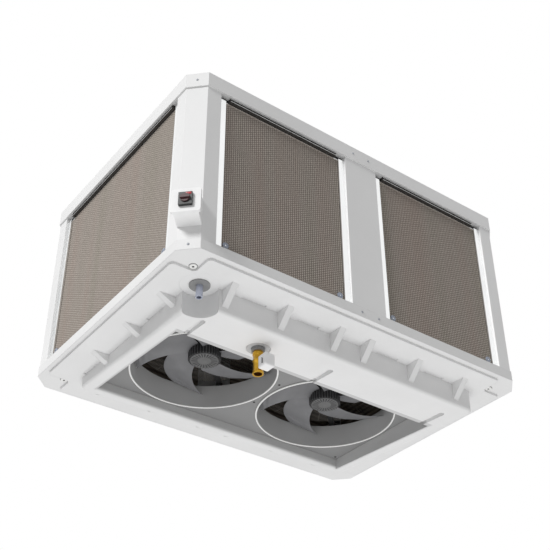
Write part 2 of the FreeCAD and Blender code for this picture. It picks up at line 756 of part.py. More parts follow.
# Posts between the tank and the cap
def build_posts():
    far = "(corner_leg + post_flank)"
    knee = "(post_sheet * (sqrt(2) - 1))"
    outline = [
        (far, "post_return"),
        (far, "0"),
        ("corner_leg", "0"),
        ("0", "corner_leg"),
        ("0", far),
        ("post_return", far),
        ("post_return", far + " - post_sheet"),
        ("post_sheet", far + " - post_sheet"),
        ("post_sheet", "corner_leg + " + knee),
        ("corner_leg + " + knee, "post_sheet"),
        (far + " - post_sheet", "post_sheet"),
        (far + " - post_sheet", "post_return"),
    ]
    names = ("front_left", "front_right", "back_right", "back_left")
    for label, (sx, sy, turn) in zip(names, CORNERS):
        body = prism("post_" + label, "XY_Plane", outline, "post_height", centred=False)
        move(body, "%d * case_half_x" % sx, "%d * case_half_y" % sy, RIM_TOP, about_z(turn + 45))
        node(body, "corner_post_" + label)
    half = "centre_post_half"
    deep = "centre_post_depth"
    outline = [
        ("0 - " + half, deep),
        ("0 - " + half, "0"),
        (half, "0"),
        (half, deep),
        (half + " - post_sheet", deep),
        (half + " - post_sheet", "post_sheet"),
        ("post_sheet - " + half, "post_sheet"),
        ("post_sheet - " + half, deep),
    ]
    for label, sy, turn in (("front", -1, 0), ("back", 1, 180)):
        body = prism("post_" + label, "XY_Plane", outline, "post_height", centred=False)
        move(body, "0", "%d * case_half_y" % sy, RIM_TOP, about_z(turn))
        node(body, "centre_post_" + label)


# Cooling pads in their frames, each with the end blocks of the water header above it
PAD_PLACES = [
    ("front_left", "0 - (centre_post_half + %s / 2)" % LONG_PAD, "0 - case_half_y", 0, LONG_PAD),
    ("front_right", "centre_post_half + %s / 2" % LONG_PAD, "0 - case_half_y", 0, LONG_PAD),
    ("back_right", "centre_post_half + %s / 2" % LONG_PAD, "case_half_y", 180, LONG_PAD),
    ("back_left", "0 - (centre_post_half + %s / 2)" % LONG_PAD, "case_half_y", 180, LONG_PAD),
    ("side_left", "0 - case_half_x", "0", 270, SHORT_PAD),
    ("side_right", "case_half_x", "0", 90, SHORT_PAD),
]


def build_pads():
    blocks = []
    strips = []
    for label, x, y, turn, width in PAD_PLACES:
        half = "(%s / 2 - clearance)" % width
        depth = "guide_sheet + pad_thickness"
        behind = "guide_recess + guide_sheet"
        parts = [
            box(label + "_guide_a", "0 - " + half, "guide_recess", "0", "guide_width", "guide_sheet", PAD_TOP),
            box(label + "_guide_b", half + " - guide_width", "guide_recess", "0", "guide_width", "guide_sheet",
                PAD_TOP),
            box(label + "_side_a", "0 - " + half, "guide_recess", "0", "frame_sheet", depth, PAD_TOP),
            box(label + "_side_b", half + " - frame_sheet", "guide_recess", "0", "frame_sheet", depth, PAD_TOP),
            box(label + "_sill", "0 - " + half, behind, "0", "2 * " + half, "pad_thickness", "frame_sheet"),
            box(label + "_head", "0 - " + half, behind, PAD_TOP + " - frame_sheet", "2 * " + half,
                "pad_thickness", "frame_sheet"),
        ]
        group = doc.addObject("Part::Compound", label + "_frame_set")
        clips = []
        for i, sign in enumerate(("-1", "1")):
            clip_x = "%s * (%s - guide_width - clip_inset)" % (sign, half)
            clips.append(cylinder("%s_clip%d" % (label, i), clip_x, behind, "clip_rise", "clip_radius",
                                  "frame_sheet", "-y"))
            block = box("%s_block%d" % (label, i), "0", "block_front",
                        PAD_TOP + " + clearance", "block_width", "block_depth", "pad_gap - clearance")
            block_x = "%s * (%s / 2 - block_width / 2) - block_width / 2" % (sign, width)
            bind(block, "Placement.Base.x", block_x)
            bore = cylinder("%s_blockbore%d" % (label, i), block_x, "header_inset", "post_height - pad_gap / 2",
                            "header_radius + running_fit", "block_width", "x")
            blocks.append(move(cut("%s_endblock%d" % (label, i), block, [bore]), x, y, RIM_TOP, about_z(turn)))
        strip = box(label + "_strip", "block_width - %s / 2" % width, "block_front", PAD_TOP + " + clearance",
                    "%s - 2 * block_width" % width, "strip_depth", "pad_gap - clearance")
        seal = doc.addObject("Part::Compound", label + "_seal")
        seal.Links = [strip]
        strips.append(move(seal, x, y, RIM_TOP, about_z(turn)))
        group.Links = [fuse(label + "_frame", parts)] + clips
        node(move(group, x, y, RIM_TOP, about_z(turn)), "pad_frame_" + label)
        pad = box(label + "_pad", "frame_sheet - " + half, behind, "frame_sheet", "2 * (%s - frame_sheet)" % half,
                  "pad_thickness", PAD_TOP + " - 2 * frame_sheet")
        held = doc.addObject("Part::Compound", label + "_pad_set")
        held.Links = [pad]
        node(move(held, x, y, RIM_TOP, about_z(turn)), "cooling_pad_" + label)
    node(fuse("end_blocks", blocks), "header_blocks")
    held = doc.addObject("Part::Compound", "foam_strips")
    held.Links = strips
    node(held, "pad_seals")


def build_cap():
    outer = chamfered("cap_outer", CAP_X, CAP_Y, leg_at("cap_overhang"), CAP_BOTTOM, "cap_height")
    inside = chamfered("cap_inside", "(case_half_x + cap_overhang - cap_sheet)",
                       "(case_half_y + cap_overhang - cap_sheet)", leg_at("cap_overhang - cap_sheet"),
                       CAP_BOTTOM + " + cap_sheet", "cap_height - 2 * cap_sheet")
    mouth = chamfered("cap_mouth", "(case_half_x + cap_overhang - cap_lip)",
                      "(case_half_y + cap_overhang - cap_lip)", "corner_leg", CAP_BOTTOM + " - 1",
                      "cap_sheet + 2")
    node(cut("cap", outer, [inside, mouth] + screw_holes("cap", CAP_SCREWS)), "top_cap")
    node(screws("cap_fasteners", CAP_SCREWS), "cap_screws")
    node(screws("rim_fasteners", RIM_SCREWS), "rim_screws")


# Water circuit: ring header over the pads, riser, pump, float valve and drain
def build_header():
    pieces = []
    for sign in ("-1", "1"):
        pieces.append(cylinder("header_long", "0 - " + HEADER_X, "%s * %s" % (sign, HEADER_Y), HEADER_LEVEL,
                               "header_radius", "2 * " + HEADER_X, "x"))
        pieces.append(cylinder("header_short", "%s * %s" % (sign, HEADER_X), "0 - " + HEADER_Y, HEADER_LEVEL,
                               "header_radius", "2 * " + HEADER_Y, "y"))
        for other in ("-1", "1"):
            pieces.append(ball("header_elbow", "%s * %s" % (sign, HEADER_X), "%s * %s" % (other, HEADER_Y),
                               HEADER_LEVEL, "header_radius"))
    node(fuse("header", pieces), "water_header")


def build_pump():
    x = "pump_x"
    y = "0 - pump_y"
    seat = "0 - seat_level"
    wall = tube("strainer_wall_tube", x, y, seat, "strainer_radius", "strainer_radius - strainer_wall",
                "strainer_height")
    floor = cylinder("strainer_floor", x, y, seat, "strainer_radius - 1", "strainer_wall")
    roof = tube("strainer_roof", x, y, seat + " + strainer_height - strainer_wall", "strainer_radius - 1",
                "impeller_radius / 2", "strainer_wall")
    long = "2 * strainer_radius + 2"
    wide = "impeller_radius"
    high = "strainer_height - 4 * strainer_wall"
    side = box("strainer_side", "0 - strainer_radius - 1", "0 - impeller_radius / 2", "2 * strainer_wall", long,
               wide, high)
    front = box("strainer_front", "0 - impeller_radius / 2", "0 - strainer_radius - 1", "2 * strainer_wall", wide,
                long, high)
    windows = move(fuse("strainer_windows", [side, front]), x, y, seat)
    cage = cut("strainer_cage", wall, [windows])
    node(fuse("strainer", [cage, floor, roof]), "pump_strainer")

    base = seat + " + strainer_height"
    body = cylinder("pump_barrel", x, y, base, "pump_radius", "pump_height")
    room = cylinder("pump_room", x, y, base + " - 1", "impeller_radius + wheel_gap",
                    "impeller_height + 2 * wheel_gap")
    bore = cylinder("pump_bore", x, y, base, "pivot_radius + running_fit", "pump_height / 2")
    node(cut("pump", body, [room, bore]), "pump_body")
    wheel = cylinder("wheel_disc", x, y, base + " + wheel_gap", "impeller_radius", "impeller_height / 2")
    shaft = cylinder("wheel_shaft", x, y, base + " + wheel_gap", "pivot_radius", "pump_height / 2 - 2 * wheel_gap")
    vane_base = box("wheel_vane_a", "pump_x - impeller_radius + 1", "0 - pump_y - vane_width / 2",
                    base + " + wheel_gap", "2 * impeller_radius - 2", "vane_width", "impeller_height")
    vane_cross = box("wheel_vane_b", "pump_x - vane_width / 2", "0 - pump_y - impeller_radius + 1",
                     base + " + wheel_gap", "vane_width", "2 * impeller_radius - 2", "impeller_height")
    node(fuse("wheel", [wheel, shaft, vane_base, vane_cross]), "pump_impeller")

    outlet = base + " + pump_height"
    riser = cylinder("riser_up", x, y, outlet, "riser_radius", "%s - (%s)" % (HEADER_LEVEL, outlet))
    elbow = ball("riser_elbow", x, y, HEADER_LEVEL, "riser_radius")
    across = cylinder("riser_across", x, y, HEADER_LEVEL, "riser_radius",
                      HEADER_Y + " - header_radius - pump_y", "-y")
    node(fuse("riser", [riser, elbow, across]), "riser_pipe")


def build_float_valve():
    x = "0 - pocket_x"
    y = "0 - pocket_y"
    node(tube("inlet_disc", x, y, "pocket_level - inlet_flange_thickness", "inlet_flange_radius",
              "inlet_radius + clearance", "inlet_flange_thickness"), "inlet_flange")
    node(tube("inlet_tube", x, y, "0 - inlet_drop", "inlet_radius", "inlet_bore", "inlet_drop + 3 * tank_wall"),
         "inlet_pipe")
    block = box("valve_block", x + " - valve_length / 2", y + " - valve_width / 2", "tank_wall", "valve_length",
                "valve_width", "valve_height")
    ears = []
    gap = "(arm_bar_width / 2 + clearance)"
    for i, shift in enumerate((gap, "0 - %s - ear_thickness" % gap)):
        ears.append(box("valve_ear%d" % i, x + " + valve_length / 2 - 1", y + " + " + shift,
                        ARM_LEVEL + " - ear_height / 2", "ear_length + 1", "ear_thickness", "ear_height"))
    socket = cylinder("valve_socket", x, y, "tank_wall", "inlet_radius + running_fit", "2 * tank_wall")
    pivot_hole = cylinder("valve_pivot", PIVOT_X, y + " - valve_width / 2", ARM_LEVEL,
                          "pivot_radius + running_fit", "valve_width", "y")
    node(cut("float_valve", fuse("valve_casting", [block] + ears), [socket, pivot_hole]), "float_valve_body")
    bar = box("arm_bar", PIVOT_X, y + " - arm_bar_width / 2", ARM_LEVEL + " - arm_bar_height / 2",
              "float_arm_length - float_flat", "arm_bar_width", "arm_bar_height")
    reach = "(arm_bar_width / 2 + clearance + ear_thickness + 1)"
    pin = cylinder("arm_pin", PIVOT_X, "%s - %s" % (y, reach), ARM_LEVEL, "pivot_radius", "2 * " + reach, "y")
    eye = cylinder("arm_eye", PIVOT_X, y + " - arm_bar_width / 2", ARM_LEVEL, "2 * pivot_radius", "arm_bar_width",
                   "y")
    node(fuse("arm", [bar, pin, eye]), "float_arm")
    globe = ball("float_globe", PIVOT_X + " + float_arm_length", y + " + float_offset", ARM_LEVEL,
                 "float_radius")
    seat = box("float_seat", PIVOT_X + " + float_arm_length - float_flat - float_radius",
               y + " + float_offset - float_radius", ARM_LEVEL + " - float_radius", "float_radius",
               "2 * float_radius", "2 * float_radius")
    node(cut("float", globe, [seat]), "float_ball")


def build_drain():
    x = "0 - drain_x"
    y = "0 - drain_y"
    flange = cylinder("barrel_flange", x, y, "0 - seat_level", "barrel_radius + barrel_flange", "barrel_sheet")
    barrel = cylinder("barrel_body", x, y, VALVE_TOP, "barrel_radius", "0 - seat_level - " + VALVE_TOP)
    bore = cylinder("barrel_bore", x, y, VALVE_TOP + " - 1", "barrel_bore", "recess_level + drain_nut_height")
    node(cut("barrel", fuse("barrel_solid", [flange, barrel]), [bore]), "drain_bulkhead")
    node(tube("nut", x, y, VALVE_TOP, "drain_nut_radius", "barrel_radius + clearance", "drain_nut_height"),
         "drain_nut")
    foot = "(0 - recess_level - drain_nut_height - drain_valve_length)"
    body = cylinder("drain_tube", x, y, foot, "drain_valve_radius", "drain_valve_length")
    tools = [
        cylinder("drain_way", x, y, foot + " - 1", "drain_port", "drain_valve_length + 2"),
        cylinder("drain_mouth", x, y, foot + " - 1", "drain_outlet", "drain_outlet_depth + 1"),
        ball("drain_room", x, y, BALL_LEVEL, "drain_ball_radius + clearance"),
        cylinder("drain_stem_hole", x, y, BALL_LEVEL, "drain_stem + running_fit", "2 * drain_valve_radius", "-y"),
    ]
    node(cut("drain_valve", body, tools), "drain_valve_body")
    globe = cut("drain_globe", ball("drain_sphere", x, y, BALL_LEVEL, "drain_ball_radius"),
                [cylinder("drain_bore", x, y, BALL_LEVEL + " - 2 * drain_ball_radius", "drain_port",
                          "4 * drain_ball_radius")])
    stem_start = y + " - drain_port - stem_root"
    stem = cylinder("drain_stem_rod", x, stem_start, BALL_LEVEL, "drain_stem",
                    "drain_valve_radius + clearance + stem_engagement - drain_port - stem_root", "-y")
    node(fuse("drain_ball_set", [globe, stem]), "drain_ball")
    case = box("actuator_case", x + " + actuator_shift - actuator_x / 2",
               y + " - drain_valve_radius - clearance - actuator_y", BALL_LEVEL + " - actuator_z / 2",
               "actuator_x", "actuator_y", "actuator_z")
    socket = cylinder("actuator_socket", x, y + " - drain_valve_radius", BALL_LEVEL, "drain_stem + running_fit",
                      "stem_engagement + 2", "-y")
    node(cut("actuator", case, [socket]), "drain_actuator")


# Isolator switch on the front left corner post, drawn with -Y pointing out of the post
def build_isolator():
    def seat(obj):
        return move(obj, "0 - (case_half_x - corner_leg / 2)", "0 - (case_half_y - corner_leg / 2)",
                    "isolator_centre", about_z(-45))

    half = "(isolator_height / 2)"
    front = "(isolator_depth - isolator_cover)"
    outline = [
        ("0", "0 - (%s + isolator_toe)" % half),
        ("0 - " + front, "0 - (%s - isolator_relief)" % half),
        ("0 - " + front, half + " - isolator_relief"),
        ("0", half + " - isolator_relief"),
    ]
    case = prism("isolator_case", "YZ_Plane", outline, "isolator_width - 2 * isolator_inset")
    room = box("isolator_room", "0 - (isolator_width / 2 - isolator_inset - isolator_wall)", "0 - %s - 1" % front,
               "2 * isolator_wall - " + half, "isolator_width - 2 * isolator_inset - 2 * isolator_wall",
               front + " + 1 - isolator_wall", "isolator_height - 4 * isolator_wall")
    node(seat(cut("isolator_shell", case, [room])), "isolator_base")

    wide = "(isolator_width / 2)"
    outline = [("0 - " + wide, "0 - " + half), (wide, "0 - " + half), (wide, half), ("0 - " + wide, half)]
    lid = prism("isolator_lid", "XZ_Plane", outline, "isolator_cover")
    round_edges(lid, "isolator_inset", lambda e: e.BoundBox.YLength > 1 and e.BoundBox.XLength < 0.1)
    move(lid, "0", "0 - (isolator_depth - isolator_cover / 2)", "0")
    lid_hole = cylinder("isolator_lid_hole", "0", "0", "0", "spindle + isolator_relief", "isolator_depth + 1",
                        "-y")
    node(seat(cut("isolator_door", lid, [lid_hole])), "isolator_cover")

    face = "(isolator_depth + dial_thickness)"
    dial = box("dial_plate_box", "0 - dial_width / 2", "0 - " + face, "0 - dial_height / 2", "dial_width",
               "dial_thickness", "dial_height")
    dial_bore = cylinder("dial_bore", "0", "0", "0", "spindle + running_fit", face + " + 1", "-y")
    node(seat(cut("dial", dial, [dial_bore])), "isolator_plate")

    disc = cylinder("knob_disc", "0", "0 - (%s + clearance)" % face, "0", "knob_radius", "knob_thickness", "-y")
    bar = box("knob_bar_box", "0 - knob_radius", "0 - (%s + clearance + knob_thickness + knob_grip)" % face,
              "0 - knob_bar / 2", "2 * knob_radius", "knob_grip + 1", "knob_bar")
    switch_front = "(isolator_wall + switch_depth)"
    inner_end = "(%s - spindle_depth)" % switch_front
    shaft = cylinder("knob_shaft", "0", "0 - " + inner_end, "0", "spindle", "%s + 1 - %s" % (face, inner_end),
                     "-y")
    node(seat(fuse("knob", [disc, bar, shaft])), "isolator_knob")

    block = box("switch_box", "0 - switch_side / 2", "0 - " + switch_front, "0 - switch_side / 2", "switch_side",
                "switch_depth", "switch_side")
    socket = cylinder("switch_socket", "0", "3 - " + inner_end, "0", "spindle + running_fit", "spindle_depth + 4",
                      "-y")
    node(seat(cut("switch", block, [socket])), "switch_block")


def build_control_box():
    base = CAP_TOP + " - cap_sheet - box_height"
    shell = box("control_shell", "0 - box_length / 2", "fan_y - box_width / 2", base, "box_length", "box_width",
                "box_height")
    room = box("control_room", "box_wall - box_length / 2", "fan_y + box_wall - box_width / 2", base + " - 1",
               "box_length - 2 * box_wall", "box_width - 2 * box_wall", "box_height - box_wall + 1")
    node(cut("control", shell, [room]), "control_box")
    lid = box("control_cover", "0 - box_length / 2 - lid_overhang", "fan_y - box_width / 2 - lid_overhang",
              base + " - box_wall", "box_length + 2 * lid_overhang", "box_width + 2 * lid_overhang", "box_wall")
    held = doc.addObject("Part::Compound", "control_cover_set")
    held.Links = [lid]
    node(held, "control_lid")


def export_nodes():
    """Recompute, test every object and write one file for each node."""
    doc.recompute()
    for obj in doc.Objects:
        if "Invalid" in obj.State or "Error" in obj.State:
            raise RuntimeError("failed object: " + obj.Name)
    os.makedirs("parts", exist_ok=True)
    for obj in nodes:
        shape = obj.Shape
        if shape.isNull() or not shape.isValid() or not shape.Solids:
            raise RuntimeError("bad shape: " + obj.Label)
        shape.exportStep("parts/" + obj.Label + ".step")
        print("%-28s %2d solids %10.1f cm3" % (obj.Label, len(shape.Solids), shape.Volume / 1000))
    print(len(nodes), "nodes")


build_tank()
bolts()
build_deck()
build_fan("left", "-1")
build_fan("right", "1")
build_posts()
build_pads()
build_cap()
build_header()
build_pump()
build_float_valve()
build_drain()
build_isolator()
build_control_box()
export_nodes()
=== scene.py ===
import math
import bmesh
import bpy
import numpy as np
from mathutils import Matrix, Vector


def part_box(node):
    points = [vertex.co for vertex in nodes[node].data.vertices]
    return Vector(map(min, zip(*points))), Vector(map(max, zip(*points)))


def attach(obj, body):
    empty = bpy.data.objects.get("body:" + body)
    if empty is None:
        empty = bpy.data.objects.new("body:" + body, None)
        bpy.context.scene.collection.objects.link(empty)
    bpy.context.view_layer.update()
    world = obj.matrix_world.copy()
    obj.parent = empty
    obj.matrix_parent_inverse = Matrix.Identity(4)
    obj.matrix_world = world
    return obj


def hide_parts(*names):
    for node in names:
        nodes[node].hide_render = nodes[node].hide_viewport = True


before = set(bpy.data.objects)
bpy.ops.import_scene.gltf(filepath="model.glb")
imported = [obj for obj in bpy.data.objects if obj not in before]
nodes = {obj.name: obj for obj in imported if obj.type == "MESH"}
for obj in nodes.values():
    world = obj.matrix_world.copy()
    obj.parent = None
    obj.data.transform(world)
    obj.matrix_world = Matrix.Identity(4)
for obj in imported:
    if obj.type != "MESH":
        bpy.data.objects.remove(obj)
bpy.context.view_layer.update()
scene = bpy.context.scene
print("frame loaded:", len(nodes), "nodes")

# small tools


def linear(hexColour, alpha=1.0):
    # sRGB hex to linear: each channel is c/12.92 below 0.04045, else ((c + 0.055) / 1.055) to the power 2.4
    c = np.array([int(hexColour[i:i + 2], 16) for i in (1, 3, 5)]) / 255.0
    c = np.where(c <= 0.04045, c / 12.92, ((c + 0.055) / 1.055) ** 2.4)
    return (float(c[0]), float(c[1]), float(c[2]), alpha)


def addNode(tree, kind, values=None, links=None, stops=None, **settings):
    # one node with its settings, its plain socket values, its incoming links (socket: (node, output)) and,
    # on a colour ramp, its stops as (place, hex colour)
    made = tree.nodes.new(kind)
    for name, setting in settings.items():
        setattr(made, name, setting)
    for name, number in (values or {}).items():
        made.inputs[name].default_value = number
    for name, (source, output) in (links or {}).items():
        tree.links.new(source.outputs[output], made.inputs[name])
    if stops:
        ramp = made.color_ramp.elements
        while len(ramp) < len(stops):
            ramp.new(0.5)
        for element, (where, colour) in zip(ramp, stops):
            element.position, element.color = where, linear(colour)
    return made


def startMaterial(name, values):
    # a material with a bare Principled shader whose constant values sit on its own sockets
    material = bpy.data.materials.new(name)
    material.use_nodes = True
    tree = material.node_tree
    tree.nodes.clear()
    shader = addNode(tree, "ShaderNodeBsdfPrincipled", values)
    addNode(tree, "ShaderNodeOutputMaterial", links={"Surface": (shader, "BSDF")})
    place = addNode(tree, "ShaderNodeTexCoord")
    return material, tree, shader, place


def gridFaces(rows, columns, closeRows=False, closeColumns=False):
    # quads over a table of rows x columns points, closed on itself either way if asked
    i = np.arange(rows if closeRows else rows - 1)
    j = np.arange(columns if closeColumns else columns - 1)
    a, b = np.meshgrid(i, j, indexing="ij")
    nextA, nextB = (a + 1) % rows, (b + 1) % columns
    quads = [a * columns + b, nextA * columns + b, nextA * columns + nextB, a * columns + nextB]
    return np.stack(quads, -1).reshape(-1, 4)


def turned(angle):
    # a turn about Z by an angle in degrees, as a 3 x 3 table
    c, s = math.cos(math.radians(angle)), math.sin(math.radians(angle))
    return np.array([[c, -s, 0], [s, c, 0], [0, 0, 1.0]])


def axisTable(axis, side):
    # columns: side, axis x side, axis, so that a piece drawn along +Z points along axis
    w = np.array(axis, float) / np.linalg.norm(axis)
    u = np.array(side, float) - np.dot(side, w) * w
    u = u / np.linalg.norm(u)
    return np.stack([u, np.cross(w, u), w], 1)


def repeatPiece(points, faces, tables, origins):
    # the same points turned by each table and moved to each origin, with the faces counted on
    tables, origins = np.array(tables, float), np.array(origins, float)
    placed = np.einsum("nij,pj->npi", tables, points) + origins[:, None, :]
    steps = np.arange(len(origins)) * len(points)
    allFaces = [[int(v) + int(step) for v in face] for step in steps for face in faces]
    return placed.reshape(-1, 3), allFaces


def makePiece(name, points, faces, body, material, smoothAngle=35, attribute=None, replaced=()):
    # points and faces into a mesh object at the origin; doubles are merged and faces turned outwards
    mesh = bpy.data.meshes.new(name)
    mesh.from_pydata(np.asarray(points, float).tolist(), [], [list(map(int, f)) for f in faces])
    if attribute is not None:
        layer = mesh.attributes.new(attribute[0], "FLOAT", "POINT")
        layer.data.foreach_set("value", np.asarray(attribute[1], np.float32))
    shell = bmesh.new()
    shell.from_mesh(mesh)
    bmesh.ops.remove_doubles(shell, verts=shell.verts, dist=1e-6)
    bmesh.ops.recalc_face_normals(shell, faces=shell.faces)
    shell.to_mesh(mesh)
    shell.free()
    mesh.shade_smooth()
    mesh.set_sharp_from_angle(angle=math.radians(smoothAngle))
    mesh.materials.append(material)
    piece = bpy.data.objects.new(name, mesh)
    scene.collection.objects.link(piece)
    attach(piece, body)
    if replaced:
        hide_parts(*replaced)
    return piece


def faceTable(piece):
    # centre and outward normal of every face, as two n x 3 tables
    count = len(piece.data.polygons)
    centres, normals = np.empty(3 * count), np.empty(3 * count)
    piece.data.polygons.foreach_get("center", centres)
    piece.data.polygons.foreach_get("normal", normals)
    return centres.reshape(-1, 3), normals.reshape(-1, 3)


def paintFaces(piece, chosen, material):
    # a second material on the chosen faces
    piece.data.materials.append(material)
    piece.data.polygons.foreach_set("material_index", chosen.astype(np.int32))


def lathe(profile, segments=32):
    # surface of revolution: each profile point (r, z) goes round Z as (r cos t, r sin t, z); the profile
    # closes
    t = np.linspace(0, 2 * math.pi, segments, endpoint=False)
    r, z = np.array(profile, float).T
    points = np.stack([np.outer(r, np.cos(t)), np.outer(r, np.sin(t)), np.repeat(z[:, None], segments, 1)],
                      -1)
    return points.reshape(-1, 3), gridFaces(len(profile), segments, closeRows=True, closeColumns=True)


def latheSolid(profile, segments=32):
    # the same for a profile that starts and ends on the axis, so that its poles close in one point each
    t = np.linspace(0, 2 * math.pi, segments, endpoint=False)
    r, z = np.array(profile, float).T
    points = np.stack([np.outer(r, np.cos(t)), np.outer(r, np.sin(t)), np.repeat(z[:, None], segments, 1)],
                      -1)
    points = points.reshape(-1, 3)
    return points, gridFaces(len(profile), segments, closeColumns=True)


def roundedBox(half, radius, steps=6):
    # directions n over a sphere; each point is sign(n) * (half - radius) + radius * n, so flats join round
    # edges
    quarter = (np.arange(steps) + 0.5) / steps * math.pi / 2
    around = np.concatenate([quarter + k * math.pi / 2 for k in range(4)])
    down = np.concatenate([[0], quarter, quarter + math.pi / 2, [math.pi]])
    d, a = np.meshgrid(down, around, indexing="ij")
    n = np.stack([np.sin(d) * np.cos(a), np.sin(d) * np.sin(a), np.cos(d)], -1)
    n[0, :, :2] = 0
    n[-1, :, :2] = 0
    core = np.where(np.abs(n) < 1e-9, 0, np.sign(n)) * (np.array(half) - radius)
    points = (core + radius * n).reshape(-1, 3)
    return points, gridFaces(len(down), len(around), closeColumns=True)


def carried(profile, start, end, inward, up):
    # a closed profile (depth, height) carried straight from start to end, both ends capped
    profile, start, end = np.array(profile, float), np.array(start, float), np.array(end, float)
    ring = profile[:, :1] * np.array(inward, float) + profile[:, 1:] * np.array(up, float)
    count = len(profile)
    points = np.concatenate([ring + start, ring + end])
    faces = [list(f) for f in gridFaces(2, count, closeColumns=True)]
    faces += [list(range(count)), list(range(2 * count - 1, count - 1, -1))]
    return points, faces


# materials

# grey is painted shade for the throat; throatLow and throatHigh bound the box where it is painted
mould = {"grey": "#C8C8C8", "grain": 0.003,
         "throatLow": (-0.760, -0.285, -0.2), "throatHigh": (0.760, 0.475, 0.02)}


def makeMoulding():
    # rotationally moulded polyethylene: satin white with a fine sandblasted tool grain, with painted shade in
    # the
    # throat: a grey colour that stands in for the shade inside the opening
    material, tree, shader, place = startMaterial("mouldedPolyethylene", {"Roughness": 0.5, "IOR": 1.51})
    grain = addNode(tree, "ShaderNodeTexNoise", {"Scale": 1 / mould["grain"], "Detail": 3.0},
                    {"Vector": (place, "Object")})
    cloud = addNode(tree, "ShaderNodeTexNoise", {"Scale": 2.2, "Detail": 5.0, "Roughness": 0.6},
                    {"Vector": (place, "Object")})
    tint = addNode(tree, "ShaderNodeValToRGB", links={"Fac": (cloud, "Fac")},
                   stops=[(0.3, "#E4E4E4"), (0.72, "#ECECEC")])
    # distance from the middle of the throat, scaled so that its walls lie at 1
    low, high = np.array(mould["throatLow"]), np.array(mould["throatHigh"])
    middle, reach = (low + high) / 2, (high - low) / 2
    spot = addNode(tree, "ShaderNodeMapping", {"Location": tuple(-middle / reach),
                                               "Scale": tuple(1 / reach)}, {"Vector": (place, "Object")})
    parts = addNode(tree, "ShaderNodeSeparateXYZ", links={"Vector": (spot, "Vector")})
    across = addNode(tree, "ShaderNodeMath", links={0: (parts, "X")}, operation="ABSOLUTE")
    along = addNode(tree, "ShaderNodeMath", links={0: (parts, "Y")}, operation="ABSOLUTE")
    widest = addNode(tree, "ShaderNodeMath", links={0: (across, "Value"), 1: (along, "Value")},
                     operation="MAXIMUM")
    # inside the throat's box the colour turns to the grey painted shade
    inside = addNode(tree, "ShaderNodeMapRange", {"From Min": 1.022, "From Max": 1.002},
                     {"Value": (widest, "Value")}, interpolation_type="SMOOTHSTEP")
    mixed = addNode(tree, "ShaderNodeMix", {7: linear(mould["grey"])},
                    {0: (inside, "Result"), 6: (tint, "Color")}, data_type="RGBA")
    tree.links.new(mixed.outputs[2], shader.inputs["Base Color"])
    edge = addNode(tree, "ShaderNodeBevel", {"Radius": 0.004}, samples=4)
    bump = addNode(tree, "ShaderNodeBump", {"Strength": 0.08, "Distance": 0.0004},
                   {"Height": (grain, "Fac"), "Normal": (edge, "Normal")})
    tree.links.new(bump.outputs["Normal"], shader.inputs["Normal"])
    return material


moulding = makeMoulding()
print("materials made")

# camera, lights and floor

view = {"place": (-2.7481, -3.6976, -2.6339), "lens": 69.035,
        "right": (0.805163, -0.59305, -0.002224), "down": (0.345186, 0.47169, -0.811391),
        "forward": (0.482244, 0.652534, 0.5845)}
lights = {"left": {"from": (-0.88, -0.17, 0.60), "strength": 2.15, "spread": 16},
          "below": {"size": 4.0, "height": -5.5, "watts": 112.0},
          "world": 0.38, "floorHeight": -6.5}


def makeCamera():
    # the columns of the camera's table are right, up and back
    data = bpy.data.cameras.new("camera")
    data.lens, data.sensor_width, data.sensor_fit = view["lens"], 36.0, "HORIZONTAL"
    data.clip_end = 60.0
    camera = bpy.data.objects.new("camera", data)
    right, up, back = np.array(view["right"]), -np.array(view["down"]), -np.array(view["forward"])
    table = np.eye(4)
    table[:3, 0], table[:3, 1], table[:3, 2], table[:3, 3] = right, up, back, view["place"]
    camera.matrix_world = Matrix(table.tolist())
    scene.collection.objects.link(camera)
    scene.camera = camera


def placeLamp(name, kind, table, energy):
    # a lamp whose columns and place are the 4 x 4 table's
    data = bpy.data.lights.new(name, kind)
    data.energy = energy
    lamp = bpy.data.objects.new(name, data)
    lamp.matrix_world = Matrix(table.tolist())
    scene.collection.objects.link(lamp)
    return lamp


def makeLights():
    # a soft sun from the upper left and a square lamp low down that lifts the undersides
    left, below = lights["left"], lights["below"]
    table = np.eye(4)
    table[:3, :3] = axisTable(left["from"], (0.3, 0.9, 0.1))
    placeLamp("leftLight", "SUN", table, left["strength"]).data.angle = math.radians(left["spread"])
    table = np.diag([1.0, -1.0, -1.0, 1.0])
    table[2, 3] = below["height"]
    lamp = placeLamp("belowLight", "AREA", table, below["watts"])
    lamp.data.size = below["size"]
    lamp.visible_camera = False
    # white to the camera and in reflections, dimmer as a light
    world = bpy.data.worlds.new("studio")
    scene.world = world
    world.use_nodes = True
    tree = world.node_tree
    tree.nodes.clear()
    rays = addNode(tree, "ShaderNodeLightPath")
    seen = addNode(tree, "ShaderNodeMath", links={0: (rays, "Is Camera Ray"), 1: (rays, "Is Glossy Ray")},
                   operation="MAXIMUM")
    through = addNode(tree, "ShaderNodeMath", links={0: (seen, "Value"), 1: (rays, "Is Transmission Ray")},
                      operation="MAXIMUM")
    strength = addNode(tree, "ShaderNodeMapRange", {"To Min": lights["world"], "To Max": 1.0},
                       {"Value": (through, "Value")})
    glow = addNode(tree, "ShaderNodeBackground", {"Color": (1, 1, 1, 1)}, {"Strength": (strength, "Result")})
    addNode(tree, "ShaderNodeOutputWorld", links={"Surface": (glow, "Background")})


